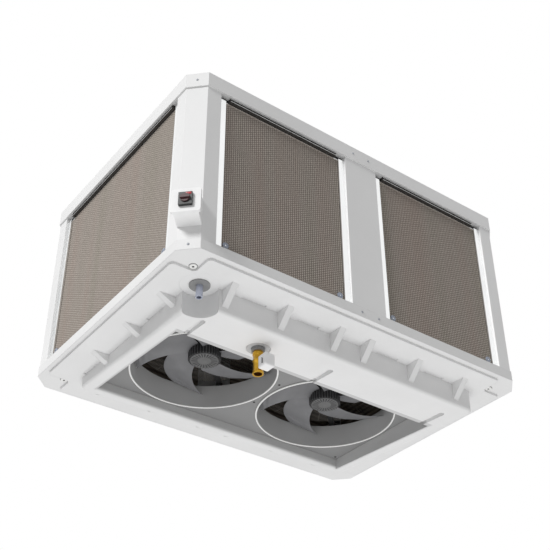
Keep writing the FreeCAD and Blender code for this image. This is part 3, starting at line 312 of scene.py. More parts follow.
def makeFloor():
    # a plain pale floor, far below because the camera looks up from under the object
    half, z = 14.0, lights["floorHeight"]
    mesh = bpy.data.meshes.new("floor")
    mesh.from_pydata([(-half, -half, z), (half, -half, z), (half, half, z), (-half, half, z)], [],
                     [(0, 1, 2, 3)])
    material, tree, shader, place = startMaterial("paleFloor", {"Roughness": 0.9})
    mottle = addNode(tree, "ShaderNodeTexNoise", {"Scale": 0.6}, {"Vector": (place, "Object")})
    tint = addNode(tree, "ShaderNodeValToRGB", links={"Fac": (mottle, "Fac")},
                   stops=[(0.0, "#E4E4E4"), (1.0, "#EAEAEA")])
    tree.links.new(tint.outputs["Color"], shader.inputs["Base Color"])
    mesh.materials.append(material)
    floor = bpy.data.objects.new("floor", mesh)
    scene.collection.objects.link(floor)


makeCamera()
makeLights()
makeFloor()
scene.view_settings.view_transform = "Standard"
print("camera, lights and floor made")

# finishes


def plainFinish(name, values, light, dark, patch, grain, depth, edge=0.0):
    # a finish whose colour drifts between two close tones over patches, with a fine grain of its own size
    material, tree, shader, place = startMaterial(name, values)
    cloud = addNode(tree, "ShaderNodeTexNoise", {"Scale": 1 / patch, "Detail": 4.0},
                    {"Vector": (place, "Object")})
    tint = addNode(tree, "ShaderNodeValToRGB", links={"Fac": (cloud, "Fac")},
                   stops=[(0.3, dark), (0.7, light)])
    fine = addNode(tree, "ShaderNodeTexNoise", {"Scale": 1 / grain, "Detail": 2.0},
                   {"Vector": (place, "Object")})
    bump = addNode(tree, "ShaderNodeBump", {"Strength": 0.2, "Distance": depth}, {"Height": (fine, "Fac")})
    if edge:
        rounded = addNode(tree, "ShaderNodeBevel", {"Radius": edge}, samples=4)
        tree.links.new(rounded.outputs["Normal"], bump.inputs["Normal"])
    tree.links.new(tint.outputs["Color"], shader.inputs["Base Color"])
    tree.links.new(bump.outputs["Normal"], shader.inputs["Normal"])
    return material


# polyester powder coat baked on sheet steel: an even soft white sheen with a faint orange-peel ripple
powderCoat = plainFinish("powderCoatedSteel", {"Roughness": 0.42, "IOR": 1.5}, "#EEEEEE", "#E8E8E8", 0.5,
                         0.003, 0.0002, 0.0015)
# the same coat in mid grey on the rings, flatter; the grey is partly the rings' own coat and partly painted
# shade matching the shaded throat, so that the throat reads as one quiet tone
greyCoat = plainFinish("greyCoatedSteel", {"Roughness": 0.55, "IOR": 1.5}, "#C2C2C2", "#B8B8B8", 0.4, 0.003,
                       0.0002, 0.001)
# the same coat painted darker on the level plate as painted shade: the plate faces the light from below, and
# the darker colour stands in for the shade deep in the throat
plateCoat = plainFinish("greyPlatePaintedShade", {"Roughness": 0.55, "IOR": 1.5}, "#8B8B8B", "#838383", 0.4, 0.003,
                        0.0002, 0.001)
# rolled steel bead with a white coat, which catches the light as a thin line
beadCoat = plainFinish("whiteBeadCoat", {"Roughness": 0.35, "IOR": 1.5}, "#F4F4F2", "#EEEEEC", 0.2, 0.003,
                       0.0001)
# zinc plate on pressed steel: pale grey, slightly blue, with dull crystals
zincPlate = plainFinish("zincPlatedSteel", {"Metallic": 1.0, "Roughness": 0.38}, "#A6A9AE", "#8E9197", 0.01,
                        0.001, 0.0001)
# extruded aluminium, mill finish, bright enough to mirror the studio as near white
brightAluminium = plainFinish("extrudedAluminium", {"Metallic": 1.0, "Roughness": 0.28}, "#F7F8F8",
                              "#EFF0F0", 0.2, 0.002, 0.0001)
# the same metal in the rails under the cap, painted darker as the shade under the cap's overhang
dullAluminium = plainFinish("aluminiumPaintedShade", {"Metallic": 0.5, "Roughness": 0.5}, "#C6C6C6", "#B4B4B4",
                            0.1, 0.002, 0.0002)
# glass-filled polyamide, injection moulded: dark grey, dry looking, with faint flow marks
polyamide = plainFinish("glassFilledPolyamide", {"Roughness": 0.5, "IOR": 1.53}, "#78787A", "#6C6C6E", 0.08,
                        0.002, 0.0002)
# pressure die-cast aluminium sprayed black: fine pebble skin, soft highlights on the fins
castCoat = plainFinish("sprayedCastAluminium", {"Roughness": 0.6, "IOR": 1.5}, "#2E2E2F", "#242425", 0.05,
                       0.0015, 0.0004)
# turned and sprayed end cap of the motor, a paler grey than its drum
capCoat = plainFinish("greyMotorCap", {"Roughness": 0.5, "IOR": 1.5}, "#666666", "#5A5A5A", 0.03, 0.0015,
                      0.0003)
# the same casting on the fins that stick out, in a paler grey
finCoat = plainFinish("finnedCastAluminium", {"Roughness": 0.55, "IOR": 1.5}, "#585859", "#4C4C4D", 0.05,
                      0.0015, 0.0003)
# dark brown-grey dip coat on the guard's wires
guardCoat = plainFinish("dipCoatedWire", {"Roughness": 0.5, "IOR": 1.5}, "#5A5550", "#4C4843", 0.05, 0.002,
                        0.0001)
# black coat on the motor's arms and the deck screws
blackCoat = plainFinish("blackCoatedSteel", {"Roughness": 0.5, "IOR": 1.5}, "#1C1C1C", "#151515", 0.1, 0.002,
                        0.0002)
# closed-cell neoprene foam: dead black with fine pores
foam = plainFinish("neopreneFoam", {"Roughness": 0.95, "IOR": 1.4}, "#0E0E0E", "#080808", 0.02, 0.0012,
                   0.0006)
# black polypropylene, injection moulded, satin
blackPolymer = plainFinish("blackPolypropylene", {"Roughness": 0.45, "IOR": 1.49}, "#1E1E1F", "#171718",
                           0.05, 0.0015, 0.0002)
# the rails' channel, painted near-black as the shade behind and under the lips
channelRubber = plainFinish("railChannelPaintedShade", {"Roughness": 0.8, "IOR": 1.5}, "#3A3633", "#2E2B28", 0.05,
                            0.002, 0.0003)
# bluish grey nylon of the pad clips
clipNylon = plainFinish("blueGreyNylon", {"Roughness": 0.4, "IOR": 1.53}, "#98A0AE", "#8990A0", 0.01, 0.001,
                        0.0001)
# grey polypropylene of the pipe fittings
greyPolymer = plainFinish("greyPolypropylene", {"Roughness": 0.5, "IOR": 1.49}, "#8F8F8F", "#848484", 0.02,
                          0.0015, 0.0002)
# the same polymer undyed, on the ring round the drain
paleRing = plainFinish("palePolypropylene", {"Roughness": 0.5, "IOR": 1.49}, "#C4C4C4", "#B8B8B8", 0.02,
                       0.0015, 0.0002)
# drawn steel pipe with a bluish pickled skin
pickledPipe = plainFinish("pickledSteelPipe", {"Metallic": 0.6, "Roughness": 0.4}, "#C2C7D6", "#B2B8C9",
                          0.01, 0.001, 0.0001)
# cast and machined brass: warm yellow, darker where the sand skin is left
brass = plainFinish("machinedBrass", {"Metallic": 1.0, "Roughness": 0.3}, "#D9AE45", "#BC8E2B", 0.012,
                    0.0012, 0.0002)
# the brass inside the bore, in a darker brown
brownedBrass = plainFinish("brownedBrass", {"Metallic": 0.7, "Roughness": 0.55}, "#7A4A1C", "#5C3614", 0.006,
                           0.001, 0.0002)
# white ABS of the drain's motor housing and of the isolator, moulded with a fine spark-eroded grain
whiteAbs = plainFinish("mouldedAbs", {"Roughness": 0.34, "IOR": 1.54}, "#F6F6F6", "#F0F0F0", 0.05, 0.0012,
                       0.0001, 0.0012)
# red ABS of the dial's small mark, the one bright colour on the switch
redAbs = plainFinish("redAbs", {"Roughness": 0.35, "IOR": 1.54}, "#B8252F", "#A81F28", 0.01, 0.0012, 0.0001)
# the same ABS in a dark wine tone on the switch's handle
handleAbs = plainFinish("darkRedAbs", {"Roughness": 0.38, "IOR": 1.54}, "#4A2B2D", "#3E2224", 0.02, 0.0012,
                        0.0001, 0.001)
# near-black polycarbonate of the dial's plate, smooth enough for a soft highlight along its rim
dialBlack = plainFinish("dialPolycarbonate", {"Roughness": 0.4, "IOR": 1.58}, "#2B2D2D", "#232525", 0.02,
                        0.0012, 0.0001, 0.001)
# white PVC pipe, extruded, slightly glossy and a little greyer than the coat
pvcPipe = plainFinish("extrudedPvc", {"Roughness": 0.35, "IOR": 1.54}, "#DCDEDF", "#D2D4D6", 0.1, 0.002,
                      0.0001)
# blue lacquer on the pump's casing, hidden in the tank
pumpBlue = plainFinish("bluePumpCasing", {"Roughness": 0.35, "IOR": 1.5}, "#2F4F86", "#274476", 0.05, 0.0015,
                       0.0001)
# orange moulded skin of the float, also hidden
floatSkin = plainFinish("orangeFloat", {"Roughness": 0.4, "IOR": 1.49}, "#D8782A", "#CB6D22", 0.02, 0.001,
                        0.0001)

pads = {"flutePitch": 0.023, "rowPitch": 0.013, "fluteDepth": 0.005, "wall": 0.004, "guide": 0.034,
        "clipInset": 0.025, "clipHeight": 0.032, "blockWidth": 0.054, "endGap": 0.0002,
        "setBack": 0.019}
padFacing = {"front_left": (0, -1, 0), "front_right": (0, -1, 0), "back_right": (0, 1, 0),
             "back_left": (0, 1, 0), "side_left": (-1, 0, 0), "side_right": (1, 0, 0)}


def makeCellulose():
    # corrugated cellulose: kraft sheets glued in flutes, light where their edges show and painted darker down
    # each flute as painted shade in the recess; real flutes are about 7 mm, drawn 23 x 13 mm so that they
    # show at this size
    material, tree, shader, place = startMaterial("corrugatedCellulose", {"Roughness": 0.9, "IOR": 1.45})
    depth = addNode(tree, "ShaderNodeAttribute", attribute_name="fluteDepth")
    # colour by flute depth: painted shade darkens the kraft down each flute
    tone = addNode(tree, "ShaderNodeValToRGB", links={"Fac": (depth, "Fac")},
                   stops=[(0.0, "#DDD4CC"), (0.35, "#BBB2AA"), (0.62, "#948B84"), (1.0, "#4C4540")])
    bands = addNode(tree, "ShaderNodeMapping", {"Scale": (9.0, 9.0, 0.35)}, {"Vector": (place, "Object")})
    cloud = addNode(tree, "ShaderNodeTexNoise", {"Scale": 1.0, "Detail": 3.0}, {"Vector": (bands, "Vector")})
    stain = addNode(tree, "ShaderNodeValToRGB", links={"Fac": (cloud, "Fac")},
                    stops=[(0.3, "#F0F1EC"), (0.5, "#F8F7F5"), (0.72, "#F7F1EE")])
    speck = addNode(tree, "ShaderNodeTexNoise", {"Scale": 260.0, "Detail": 2.0},
                    {"Vector": (place, "Object")})
    flecks = addNode(tree, "ShaderNodeValToRGB", links={"Fac": (speck, "Fac")},
                     stops=[(0.35, "#D8D8D8"), (0.66, "#FFFFFF")])
    tinted = addNode(tree, "ShaderNodeMix", {0: 1.0}, {6: (tone, "Color"), 7: (stain, "Color")},
                     data_type="RGBA", blend_type="MULTIPLY")
    flecked = addNode(tree, "ShaderNodeMix", {0: 0.8}, {6: (tinted, 2), 7: (flecks, "Color")},
                      data_type="RGBA", blend_type="MULTIPLY")
    tree.links.new(flecked.outputs[2], shader.inputs["Base Color"])
    return material


def makePadInside():
    # the pad's inner face in the dark of the plenum: kraft brown, crossed by level rows of shadow every 30
    # mm
    material, tree, shader, place = startMaterial("celluloseInside", {"Roughness": 0.95, "IOR": 1.45})
    rows = addNode(tree, "ShaderNodeTexWave", {"Scale": 10.5, "Distortion": 0.6, "Detail": 1.0},
                   {"Vector": (place, "Object")}, bands_direction="Z")
    tone = addNode(tree, "ShaderNodeValToRGB", links={"Fac": (rows, "Fac")},
                   stops=[(0.25, "#6E645A"), (0.75, "#968B7E")])
    tree.links.new(tone.outputs["Color"], shader.inputs["Base Color"])
    return material


def makePad(label, facing, cellulose, inside):
    # a block whose outer face sinks by depth * f, f = 0.6 ((cos a cos b)^2 + (sin a sin b)^2) + 0.4
    # sin^2(2a) with a = pi u / flute pitch and b = pi v / row pitch: flutes in a brick pattern with a seam
    # between columns; f is 0 round the border
    node = "cooling_pad_" + label
    low, high = (np.array(corner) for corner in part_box(node))
    n = np.array(facing, float)
    u, v = np.array([-n[1], n[0], 0]), np.array([0, 0, 1.0])
    centre, half = (low + high) / 2, (high - low) / 2
    width, height, thick = abs(half @ u), half[2], abs(half @ n)
    across = 8 * round(2 * width / pads["flutePitch"])
    rows = 3 * round(2 * height / pads["rowPitch"])
    s, t = np.meshgrid(np.linspace(-width, width, across + 1), np.linspace(-height, height, rows + 1),
                       indexing="ij")
    a = np.pi * np.arange(across + 1)[:, None] / 8
    b = np.pi * np.arange(rows + 1)[None, :] / 3
    f = 0.6 * ((np.cos(a) * np.cos(b)) ** 2 + (np.sin(a) * np.sin(b)) ** 2) + 0.4 * np.sin(2 * a) ** 2
    f[[0, -1], :] = 0
    f[:, [0, -1]] = 0
    out = thick - pads["fluteDepth"] * f
    front = (centre + s[..., None] * u + t[..., None] * v + out[..., None] * n).reshape(-1, 3)
    corners = np.array([centre + i * width * u + j * height * v - thick * n
                        for i, j in ((-1, -1), (1, -1), (1, 1), (-1, 1))])
    count = len(front)
    index = np.arange(count).reshape(across + 1, rows + 1)
    faces = [list(q) for q in gridFaces(across + 1, rows + 1)]
    faces += [list(index[:, 0]) + [count + 1, count], list(index[-1, :]) + [count + 2, count + 1],
              list(index[::-1, -1]) + [count + 3, count + 2], list(index[0, ::-1]) + [count, count + 3],
              [count, count + 1, count + 2, count + 3]]
    # f also goes out as the fluteDepth attribute, which the cellulose paints as shade down each flute
    depth = np.concatenate([f.ravel(), [0.8] * 4])
    block = makePiece("padBlock_" + label, np.concatenate([front, corners]), faces, "cassette_" + label,
                      cellulose, attribute=("fluteDepth", depth), replaced=(node,))
    paintFaces(block, faceTable(block)[1] @ n < -0.99, inside)
    return centre, width, height, thick, n, u


rail = {"front": 0.002, "web": 0.008, "back": 0.0255, "top": 0.9655, "lipTop": 0.9622,
        "lip": 0.0042, "bottom": 0.9440}
clip = {"profile": [(0, 0.0030), (0.004, 0.0030), (0.0045, 0.006), (0.0090, 0.006), (0.0148, 0.0048),
                    (0.0155, 0.0002), (0, 0.0002)]}


def dressPads():
    cellulose, inside = makeCellulose(), makePadInside()
    points, faces = latheSolid(clip["profile"], 24)
    for label, facing in padFacing.items():
        centre, width, height, thick, n, u = makePad(label, facing, cellulose, inside)
        inset = width + pads["wall"] - pads["guide"] - pads["clipInset"]
        face = centre + thick * n
        low = face - (height + pads["wall"]) * np.array([0, 0, 1.0])
        places = [low + sign * inset * u + [0, 0, pads["clipHeight"]] for sign in (-1, 1)]
        both, bothFaces = repeatPiece(points, faces, [axisTable(n, (0, 0, 1))] * 2, places)
        makePiece("padClips_" + label, both, bothFaces, "cassette_" + label, clipNylon)
        # the rail above the pad: a channel painted black as the shade under the cap, with two bare lips
        outline = [(rail["web"], rail["top"])]
        for top in (rail["lipTop"], rail["bottom"] + rail["lip"]):
            outline += [(rail["web"], top), (rail["front"], top), (rail["front"], top - rail["lip"]),
                        (rail["web"], top - rail["lip"])]
        outline[-1] = (rail["back"], rail["bottom"])
        outline.append((rail["back"], rail["top"]))
        reach = width + pads["wall"] - pads["blockWidth"] - pads["endGap"]
        flat = centre * [1, 1, 0] + (thick + pads["setBack"]) * n
        railPoints, railFaces = carried(outline, flat - reach * u, flat + reach * u, -n, (0, 0, 1))
        made = makePiece("padRail_" + label, railPoints, railFaces, "case", channelRubber,
                         smoothAngle=20)
        # only the two lips' front faces are bare metal
        centres, normals = faceTable(made)
        bare = (normals @ n > 0.9) & (centres @ n > flat @ n - (rail["front"] + rail["web"]) / 2)
        paintFaces(made, bare, dullAluminium)
    print("pads, clips and rails made")


screw = {"radius": 0.006, "height": 0.003, "slot": 0.0011, "slotLength": 0.0036, "slotDepth": 0.0014}
screwBands = {"cap_screws": {"halfX": 1.007, "halfY": 0.719, "leg": 0.0781, "level": 1.0085},
              "rim_screws": {"halfX": 1.004, "halfY": 0.716, "leg": 0.07634, "level": 0.039}}
deckSpots = [(0, 0.205, 0), (0, -0.013, 0), (0.735, 0.45, 0), (-0.735, 0.45, 0), (0.735, -0.26, 0),
             (-0.735, -0.26, 0)]
bolt = {"x": 0.884, "y": 0.592, "level": 0.012,
        "washer": [(0.0056, 0.0002), (0.0060, 0.0052), (0.0080, 0.0064), (0.0135, 0.0058), (0.0165, 0.0040),
                   (0.0170, 0.0016), (0.0170, 0.0002)],
        "seal": [(0.0168, 0.0001), (0.0168, 0.0012), (0.0195, 0.0012), (0.0200, 0.0001)],
        "head": [(0, 0.0012), (0.0024, 0.0012), (0.0028, 0.0034), (0.0046, 0.0034), (0.0053, 0.0026),
                 (0.0054, 0.0), (0, 0.0)]}


def screwHead():
    # pan head: height h (1 - 0.7 (r / R)^4) over a polar grid, less a cross where |x| or |y| is under the
    # slot's half
    rings, around = 12, 32
    r = np.linspace(0, 1, rings) ** 0.8 * screw["radius"]
    t = np.linspace(0, 2 * np.pi, around, endpoint=False)
    x, y = np.outer(r, np.cos(t)), np.outer(r, np.sin(t))
    z = screw["height"] * (1 - 0.7 * (r / screw["radius"]) ** 4)[:, None] * np.ones_like(x)
    arm = (np.minimum(abs(x), abs(y)) < screw["slot"]) & (np.maximum(abs(x), abs(y)) < screw["slotLength"])
    z = z - screw["slotDepth"] * arm
    points = np.stack([x, y, z], -1).reshape(-1, 3)
    foot = points[-around:].copy()
    foot[:, 2] = 0
    faces = [list(q) for q in gridFaces(rings + 1, around, closeColumns=True)]
    faces.append(list(range(rings * around, (rings + 1) * around)))
    return np.concatenate([points, foot]), faces


def makeScrews():
    points, faces = screwHead()
    for node, band in screwBands.items():
        ways, places = [], []
        for sx, sy in ((-1, -1), (1, -1), (1, 1), (-1, 1)):
            ways.append((sx, sy, 0))
            places.append((sx * (band["halfX"] - band["leg"] / 2), sy * (band["halfY"] - band["leg"] / 2),
                           band["level"]))
        for side in (-1, 1):
            for shift in (-0.05, 0.05):
                ways.append((0, side, 0))
                places.append((shift, side * band["halfY"], band["level"]))
        tables = [axisTable(way, (0, 0, 1)) for way in ways]
        made, madeFaces = repeatPiece(points, faces, tables, places)
        makePiece("crossHeads_" + node, made, madeFaces, "case", zincPlate, replaced=(node,))
    down = axisTable((0, 0, -1), (1, 0, 0))
    made, madeFaces = repeatPiece(points, faces, [down] * len(deckSpots), deckSpots)
    makePiece("deckCrossHeads", made, madeFaces, "case", blackCoat, replaced=("deck_screws",))
    corners = [(sx * bolt["x"], sy * bolt["y"], bolt["level"]) for sx in (-1, 1) for sy in (-1, 1)]
    # under each washer a grey ring, painted shade that stands in for the shadow round the washer
    parts = (("cornerWashers", lathe(bolt["washer"], 32), beadCoat, ("corner_bolts",)),
             ("cornerShadeRings", lathe(bolt["seal"], 32), greyPolymer, ()),
             # the heads take the black coat, painted shade for the dark hole at each washer's centre
             ("cornerBoltHeads", latheSolid(bolt["head"], 24), castCoat, ()))
    for name, (points, faces), finish, replaced in parts:
        made, madeFaces = repeatPiece(points, faces, [down] * 4, corners)
        makePiece(name, made, madeFaces, "case", finish, replaced=replaced)
    print("screws and bolts made")


fan = {"x": 0.3786, "y": 0.096, "blades": 5, "root": 0.077, "tip": 0.350, "phase": 85.0, "sweep": 27.0,
       "curve": 1.3, "span": 57.0, "narrowing": 31.0, "narrowFrom": 0.4, "rise": 0.050, "camber": 0.007,
       "base": 0.063, "clear": 0.002, "rootLift": 0.030, "thick": 0.0045, "ridges": (0.80, 0.90),
       "ridgeWidth": 0.018, "ridgeHeight": 0.0065}
motor = {"drum": [(0, 0.0585), (0.070, 0.0585), (0.0745, 0.060), (0.076, 0.063), (0.076, 0.119),
                  (0.0745, 0.121), (0.063, 0.121), (0.062, 0.072), (0, 0.072)], "fins": 34,
         "finFoot": 0.0755, "finDepth": 0.0062, "finWidth": 0.0046, "finLow": 0.062, "finTop": 0.115,
         "capRadius": 0.069, "capEdge": 0.0705, "capLevel": 0.0572, "capEdgeLevel": 0.0584,
         "capBack": 0.0586, "ribs": 24, "ribShare": 0.35, "ribDepth": 0.0034, "ribFrom": 0.034,
         "ribTo": 0.064}
bead = {"radius": 0.3620, "level": -0.0042, "round": 0.0046}
guard = {"wire": 0.0015, "pitch": 0.0125, "first": 0.0925, "last": 0.352, "spokes": 8, "turn": 12,
         "lift": 0.001, "spoke": [(0.0015, 0.0010), (0.0015, 0.0040), (-0.0015, 0.0040), (-0.0015, 0.0010)],
         "spokeFrom": 0.088, "spokeTo": 0.3545}


def bladePoints(turn):
    # swept blade: angle = turn - sweep * out^curve + span * across, height = base + rise * across + camber
    # bow, the root lifted clear of the fins and the span narrowing towards the tip; its section is a closed
    # loop of half-thickness thick * sin^0.6, and two ridges run along it near the tip
    out = np.linspace(0, 1, 34)[:, None]
    loop = np.linspace(0, 2 * np.pi, 48, endpoint=False)[None, :]
    across = 0.5 - 0.5 * np.cos(loop)
    side = np.sign(np.sin(loop)) * np.abs(np.sin(loop)) ** 0.6
    radius = fan["root"] + (fan["tip"] - fan["root"]) * out
    span = fan["span"] - fan["narrowing"] * np.clip((out - fan["narrowFrom"]) / (1 - fan["narrowFrom"]), 0,
                                                    1) ** 0.8
    angle = np.radians(turn - fan["sweep"] * out ** fan["curve"] + span * across)
    lift = fan["rootLift"] * (1 - out) ** 1.5
    bow = fan["camber"] * np.sin(np.pi * across)
    middle = fan["base"] + lift + (fan["rise"] - lift) * across + bow + fan["clear"]
    half = fan["thick"] * (0.5 + 0.35 * (1 - out)) * side
    ridge = sum(np.exp(-((out - where) / fan["ridgeWidth"]) ** 2) for where in fan["ridges"])
    ridge = ridge * fan["ridgeHeight"] * np.sin(np.pi * across) ** 0.5 * (side < 0)
    z = middle + half - ridge
    return np.stack([radius * np.cos(angle), radius * np.sin(angle), z], -1)


def wireRings(radii, height, wire, segments=96, sides=5):
    # each ring: ((R + w cos q) cos t, (R + w cos q) sin t, height + w sin q), with w the wire's radius
    t = np.linspace(0, 2 * np.pi, segments, endpoint=False)[None, :, None]
    q = np.linspace(0, 2 * np.pi, sides, endpoint=False)[None, None, :]
    reach = np.array(radii)[:, None, None] + wire * np.cos(q) + 0 * t
    points = np.stack([reach * np.cos(t), reach * np.sin(t), height + wire * np.sin(q) + 0 * reach], -1)
    ring = gridFaces(segments, sides, closeRows=True, closeColumns=True)
    faces = np.concatenate([ring + k * segments * sides for k in range(len(radii))])
    return points.reshape(-1, 3), faces.tolist()


def makeBlades(side, centre):
    points, faces = [], []
    for k in range(fan["blades"]):
        grid = bladePoints(fan["phase"] + 360 / fan["blades"] * k)
        rows, columns = grid.shape[:2]
        start = k * rows * columns
        points.append(grid.reshape(-1, 3))
        faces += (gridFaces(rows, columns, closeColumns=True) + start).tolist()
        faces += [list(range(start, start + columns)),
                  list(range(start + (rows - 1) * columns, start + rows * columns))]
    makePiece("fanBlades_" + side, np.concatenate(points) + centre, faces, "fan_" + side, polyamide)


def makeMotor(side, centre):
    # the drum is a stepped profile turned round the shaft, open at the top, with square fins round it
    points, faces = latheSolid(motor["drum"], 64)
    makePiece("motorDrum_" + side, points + centre, faces, "fan_" + side, castCoat,
              replaced=("fan_rotor_" + side,))
    fin = np.array([(r, y, z) for r in (motor["finFoot"], motor["finFoot"] + motor["finDepth"])
                    for y in (-motor["finWidth"] / 2, motor["finWidth"] / 2)
                    for z in (motor["finLow"], motor["finTop"])])
    finFaces = [[0, 1, 3, 2], [4, 6, 7, 5], [0, 4, 5, 1], [2, 3, 7, 6], [0, 2, 6, 4], [1, 5, 7, 3]]
    tables = [turned(360 / motor["fins"] * k) for k in range(motor["fins"])]
    points, faces = repeatPiece(fin, finFaces, tables, [centre] * motor["fins"])
    makePiece("motorFins_" + side, points, faces, "fan_" + side, finCoat)


def makeCap(side, centre, around=192):
    # end cap: a polar grid (r cos t, r sin t), set back where cos(ribs * t) > share between the two rib
    # radii
    r = np.concatenate([np.linspace(0, motor["capRadius"], 24), [motor["capEdge"]]])
    t = np.linspace(0, 2 * np.pi, around, endpoint=False)
    between = (r[:, None] > motor["ribFrom"]) & (r[:, None] < motor["ribTo"])
    z = motor["capLevel"] + motor["ribDepth"] * ((np.cos(motor["ribs"] * t)[None,
                                                                            :] > motor["ribShare"]) & between)
    z[-1] = motor["capEdgeLevel"]
    face = np.stack([np.outer(r, np.cos(t)), np.outer(r, np.sin(t)), z], -1).reshape(-1, 3)
    foot = face[-around:] * [1, 1, 0] + [0, 0, motor["capBack"]]
    faces = gridFaces(len(r) + 1, around, closeColumns=True).tolist()
    faces.append(list(range(len(r) * around, (len(r) + 1) * around)))
    makePiece("motorCap_" + side, np.concatenate([face, foot]) + centre, faces, "fan_" + side, capCoat,
              smoothAngle=25)


def makeBead(side, centre):
    # rolled bead round the ring's mouth: a small circle carried round the ring
    q = np.linspace(0, 2 * np.pi, 12, endpoint=False)
    profile = np.stack([bead["radius"] + bead["round"] * np.cos(q),
                        bead["level"] + bead["round"] * np.sin(q)], 1)
    points, faces = lathe(profile, 160)
    makePiece("ringBead_" + side, points + centre, faces, "case", beadCoat)


def makeGuard(side, centre):
    # wire guard on top of the motor's arms: level rings crossed by radial wires
    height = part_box("motor_support_" + side)[1][2] + guard["lift"]
    points, faces = wireRings(np.arange(guard["first"], guard["last"], guard["pitch"]), height,
                              guard["wire"])
    parts, count = [points], len(points)
    for angle in np.radians(np.arange(guard["spokes"]) * 360 / guard["spokes"] + guard["turn"]):
        way = np.array([math.cos(angle), math.sin(angle), 0])
        level = np.array([0, 0, height])
        bar, barFaces = carried(guard["spoke"], guard["spokeFrom"] * way + level,
                                guard["spokeTo"] * way + level, np.cross((0, 0, 1), way), (0, 0, 1))
        faces += [[int(v) + count for v in face] for face in barFaces]
        parts.append(bar)
        count += len(bar)
    makePiece("wireGuard_" + side, np.concatenate(parts) + centre, faces, "case", guardCoat)


def makeFans():
    for side, sign in (("left", -1), ("right", 1)):
        centre = np.array([sign * fan["x"], fan["y"], 0])
        for make in (makeBlades, makeMotor, makeCap, makeBead, makeGuard):
            make(side, centre)
    print("fans made")


drain = {"x": -0.385, "y": -0.370, "foot": -0.241, "outside": [(0.0260, 0.0005), (0.0260, 0.010),
                                                               (0.0245, 0.0115), (0.0232, 0.014),
                                                               (0.0232, 0.060), (0.0250, 0.063),
                                                               (0.0250, 0.070), (0.0225, 0.074),
                                                               (0.0225, 0.094), (0.0258, 0.097),
                                                               (0.0258, 0.108), (0.0225, 0.111),
                                                               (0.0225, 0.116)], "boreReach": 0.0192,
         "ballGap": 0.0008, "socketEdge": 0.002, "seatRing": [(0.0320, -0.1040), (0.0320, -0.1068),
                                                              (0.0335, -0.1080), (0.0530, -0.1080),
                                                              (0.0548, -0.1066), (0.0550, -0.1040)],
         "boss": [(0, 0.0034), (0.0058, 0.0034), (0.0068, 0.0024), (0.0068, 0.0), (0, 0.0)],
         "lever": (0.0022, 0.0045, 0.015), "caseRound": 0.0095, "leverShift": 0.022,
         "inside": [(0.0130, 0.116), (0.0130, 0.018), (0.0190, 0.018), (0.0190, 0.0015), (0.0205, 0.0)]}


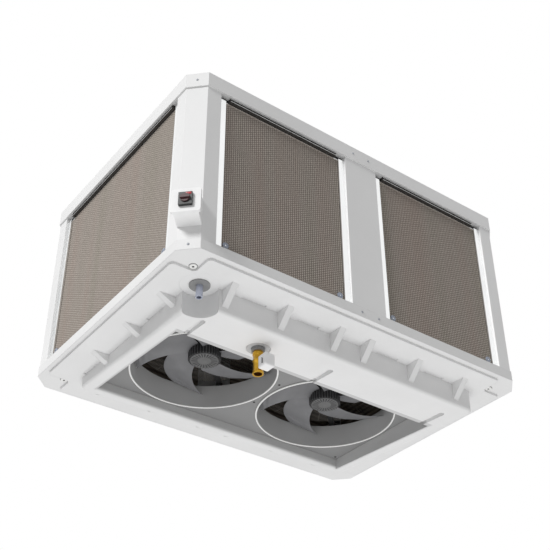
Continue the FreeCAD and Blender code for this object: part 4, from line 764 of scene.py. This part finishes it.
def makeDrain():
    centre = np.array([drain["x"], drain["y"], drain["foot"]])
    # the bore widens round the ball so that the ball turns free
    ballLow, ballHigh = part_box("drain_ball")
    reach = (ballHigh[0] - ballLow[0]) / 2 + drain["ballGap"]
    middle = (ballHigh[2] + ballLow[2]) / 2 - drain["foot"]
    socket = [(0.0130, middle + reach), (reach, middle + reach - drain["socketEdge"]),
              (reach, middle - reach + drain["socketEdge"]),
              (0.0130, middle - reach)]
    points, faces = lathe(drain["outside"] + drain["inside"][:1] + socket + drain["inside"][1:], 48)
    made = makePiece("drainTube", points + centre, faces, "case", brass,
                     replaced=("drain_valve_body",))
    # the faces whose farthest corner lies within the bore take the darker brown brass
    mesh = made.data
    spots = np.empty(3 * len(mesh.vertices))
    corners = np.empty(len(mesh.loops), np.int32)
    starts = np.empty(len(mesh.polygons), np.int32)
    mesh.vertices.foreach_get("co", spots)
    mesh.loops.foreach_get("vertex_index", corners)
    mesh.polygons.foreach_get("loop_start", starts)
    away = np.hypot(*(spots.reshape(-1, 3)[:, :2] - centre[:2]).T)
    paintFaces(made, np.maximum.reduceat(away[corners], starts) < drain["boreReach"], brownedBrass)
    low, high = (np.array(corner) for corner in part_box("drain_actuator"))
    points, faces = roundedBox((high - low) / 2, drain["caseRound"])
    makePiece("drainMotorCase", points + (low + high) / 2, faces, "case", whiteAbs,
              replaced=("drain_actuator",))
    # pale ring round the nut where the tank's recess ends
    points, faces = lathe(drain["seatRing"], 64)
    makePiece("drainSeatRing", points + [drain["x"], drain["y"], 0], faces, "case", paleRing)
    # hand lever on the case's left face and its round boss
    points, faces = roundedBox(drain["lever"], 0.0020)
    lever = np.array([low[0] - 0.0016, low[1] + drain["leverShift"], (low[2] + high[2]) / 2 - 0.006])
    makePiece("drainHandLever", points + lever, faces, "case", greyPolymer)
    points, faces = latheSolid(drain["boss"], 24)
    made, madeFaces = repeatPiece(points, faces, [axisTable((-1, 0, 0), (0, 0, 1))],
                                  [(low[0], low[1] + drain["leverShift"], (low[2] + high[2]) / 2 + 0.008)])
    makePiece("drainLeverBoss", made, madeFaces, "case", whiteAbs)
    print("drain made")


dial = {"x": -0.963, "y": -0.675, "z": 0.212, "face": 0.0994, "mark": (0.0125, 0.006, 0.0011),
        "markRight": 0.0135, "markUp": 0.0245}


def makeIsolator():
    # the red mark at the dial's upper right
    out = np.array([-1, -1, 0]) / math.sqrt(2)
    right = np.array([1, -1, 0]) / math.sqrt(2)
    centre = np.array([dial["x"], dial["y"], dial["z"]])
    points, faces = roundedBox(dial["mark"], 0.0009)
    table = np.stack([right, np.cross(out, right), out], 1)
    spot = centre + out * dial["face"] + right * dial["markRight"] + np.array([0, 0, dial["markUp"]])
    made, madeFaces = repeatPiece(points, faces, [table], [spot])
    makePiece("dialRedMark", made, madeFaces, "case", redAbs)
    print("isolator details made")


finishes = {"base_tank": moulding, "fan_deck": plateCoat, "fan_shroud_left": greyCoat,
            "fan_shroud_right": greyCoat, "motor_stator_left": castCoat, "motor_stator_right": castCoat,
            "motor_support_left": blackCoat, "motor_support_right": blackCoat, "header_blocks": blackPolymer,
            "pad_seals": foam, "water_header": pvcPipe, "riser_pipe": pvcPipe, "pump_strainer": blackPolymer,
            "pump_body": pumpBlue, "pump_impeller": blackPolymer, "inlet_flange": greyPolymer,
            "inlet_pipe": pickledPipe, "float_valve_body": brass, "float_arm": brass,
            "float_ball": floatSkin, "drain_bulkhead": greyPolymer, "drain_nut": greyPolymer,
            "drain_ball": zincPlate, "isolator_base": whiteAbs, "isolator_cover": whiteAbs,
            "isolator_plate": dialBlack, "isolator_knob": handleAbs, "switch_block": blackPolymer,
            "control_box": zincPlate, "control_lid": zincPlate}
for name, item in nodes.items():
    finish = finishes.get(name, brightAluminium if name.startswith("pad_frame") else powderCoat)
    item.data.materials.clear()
    item.data.materials.append(finish)
print("nodes painted")

dressPads()
makeScrews()
makeFans()
makeDrain()
makeIsolator()
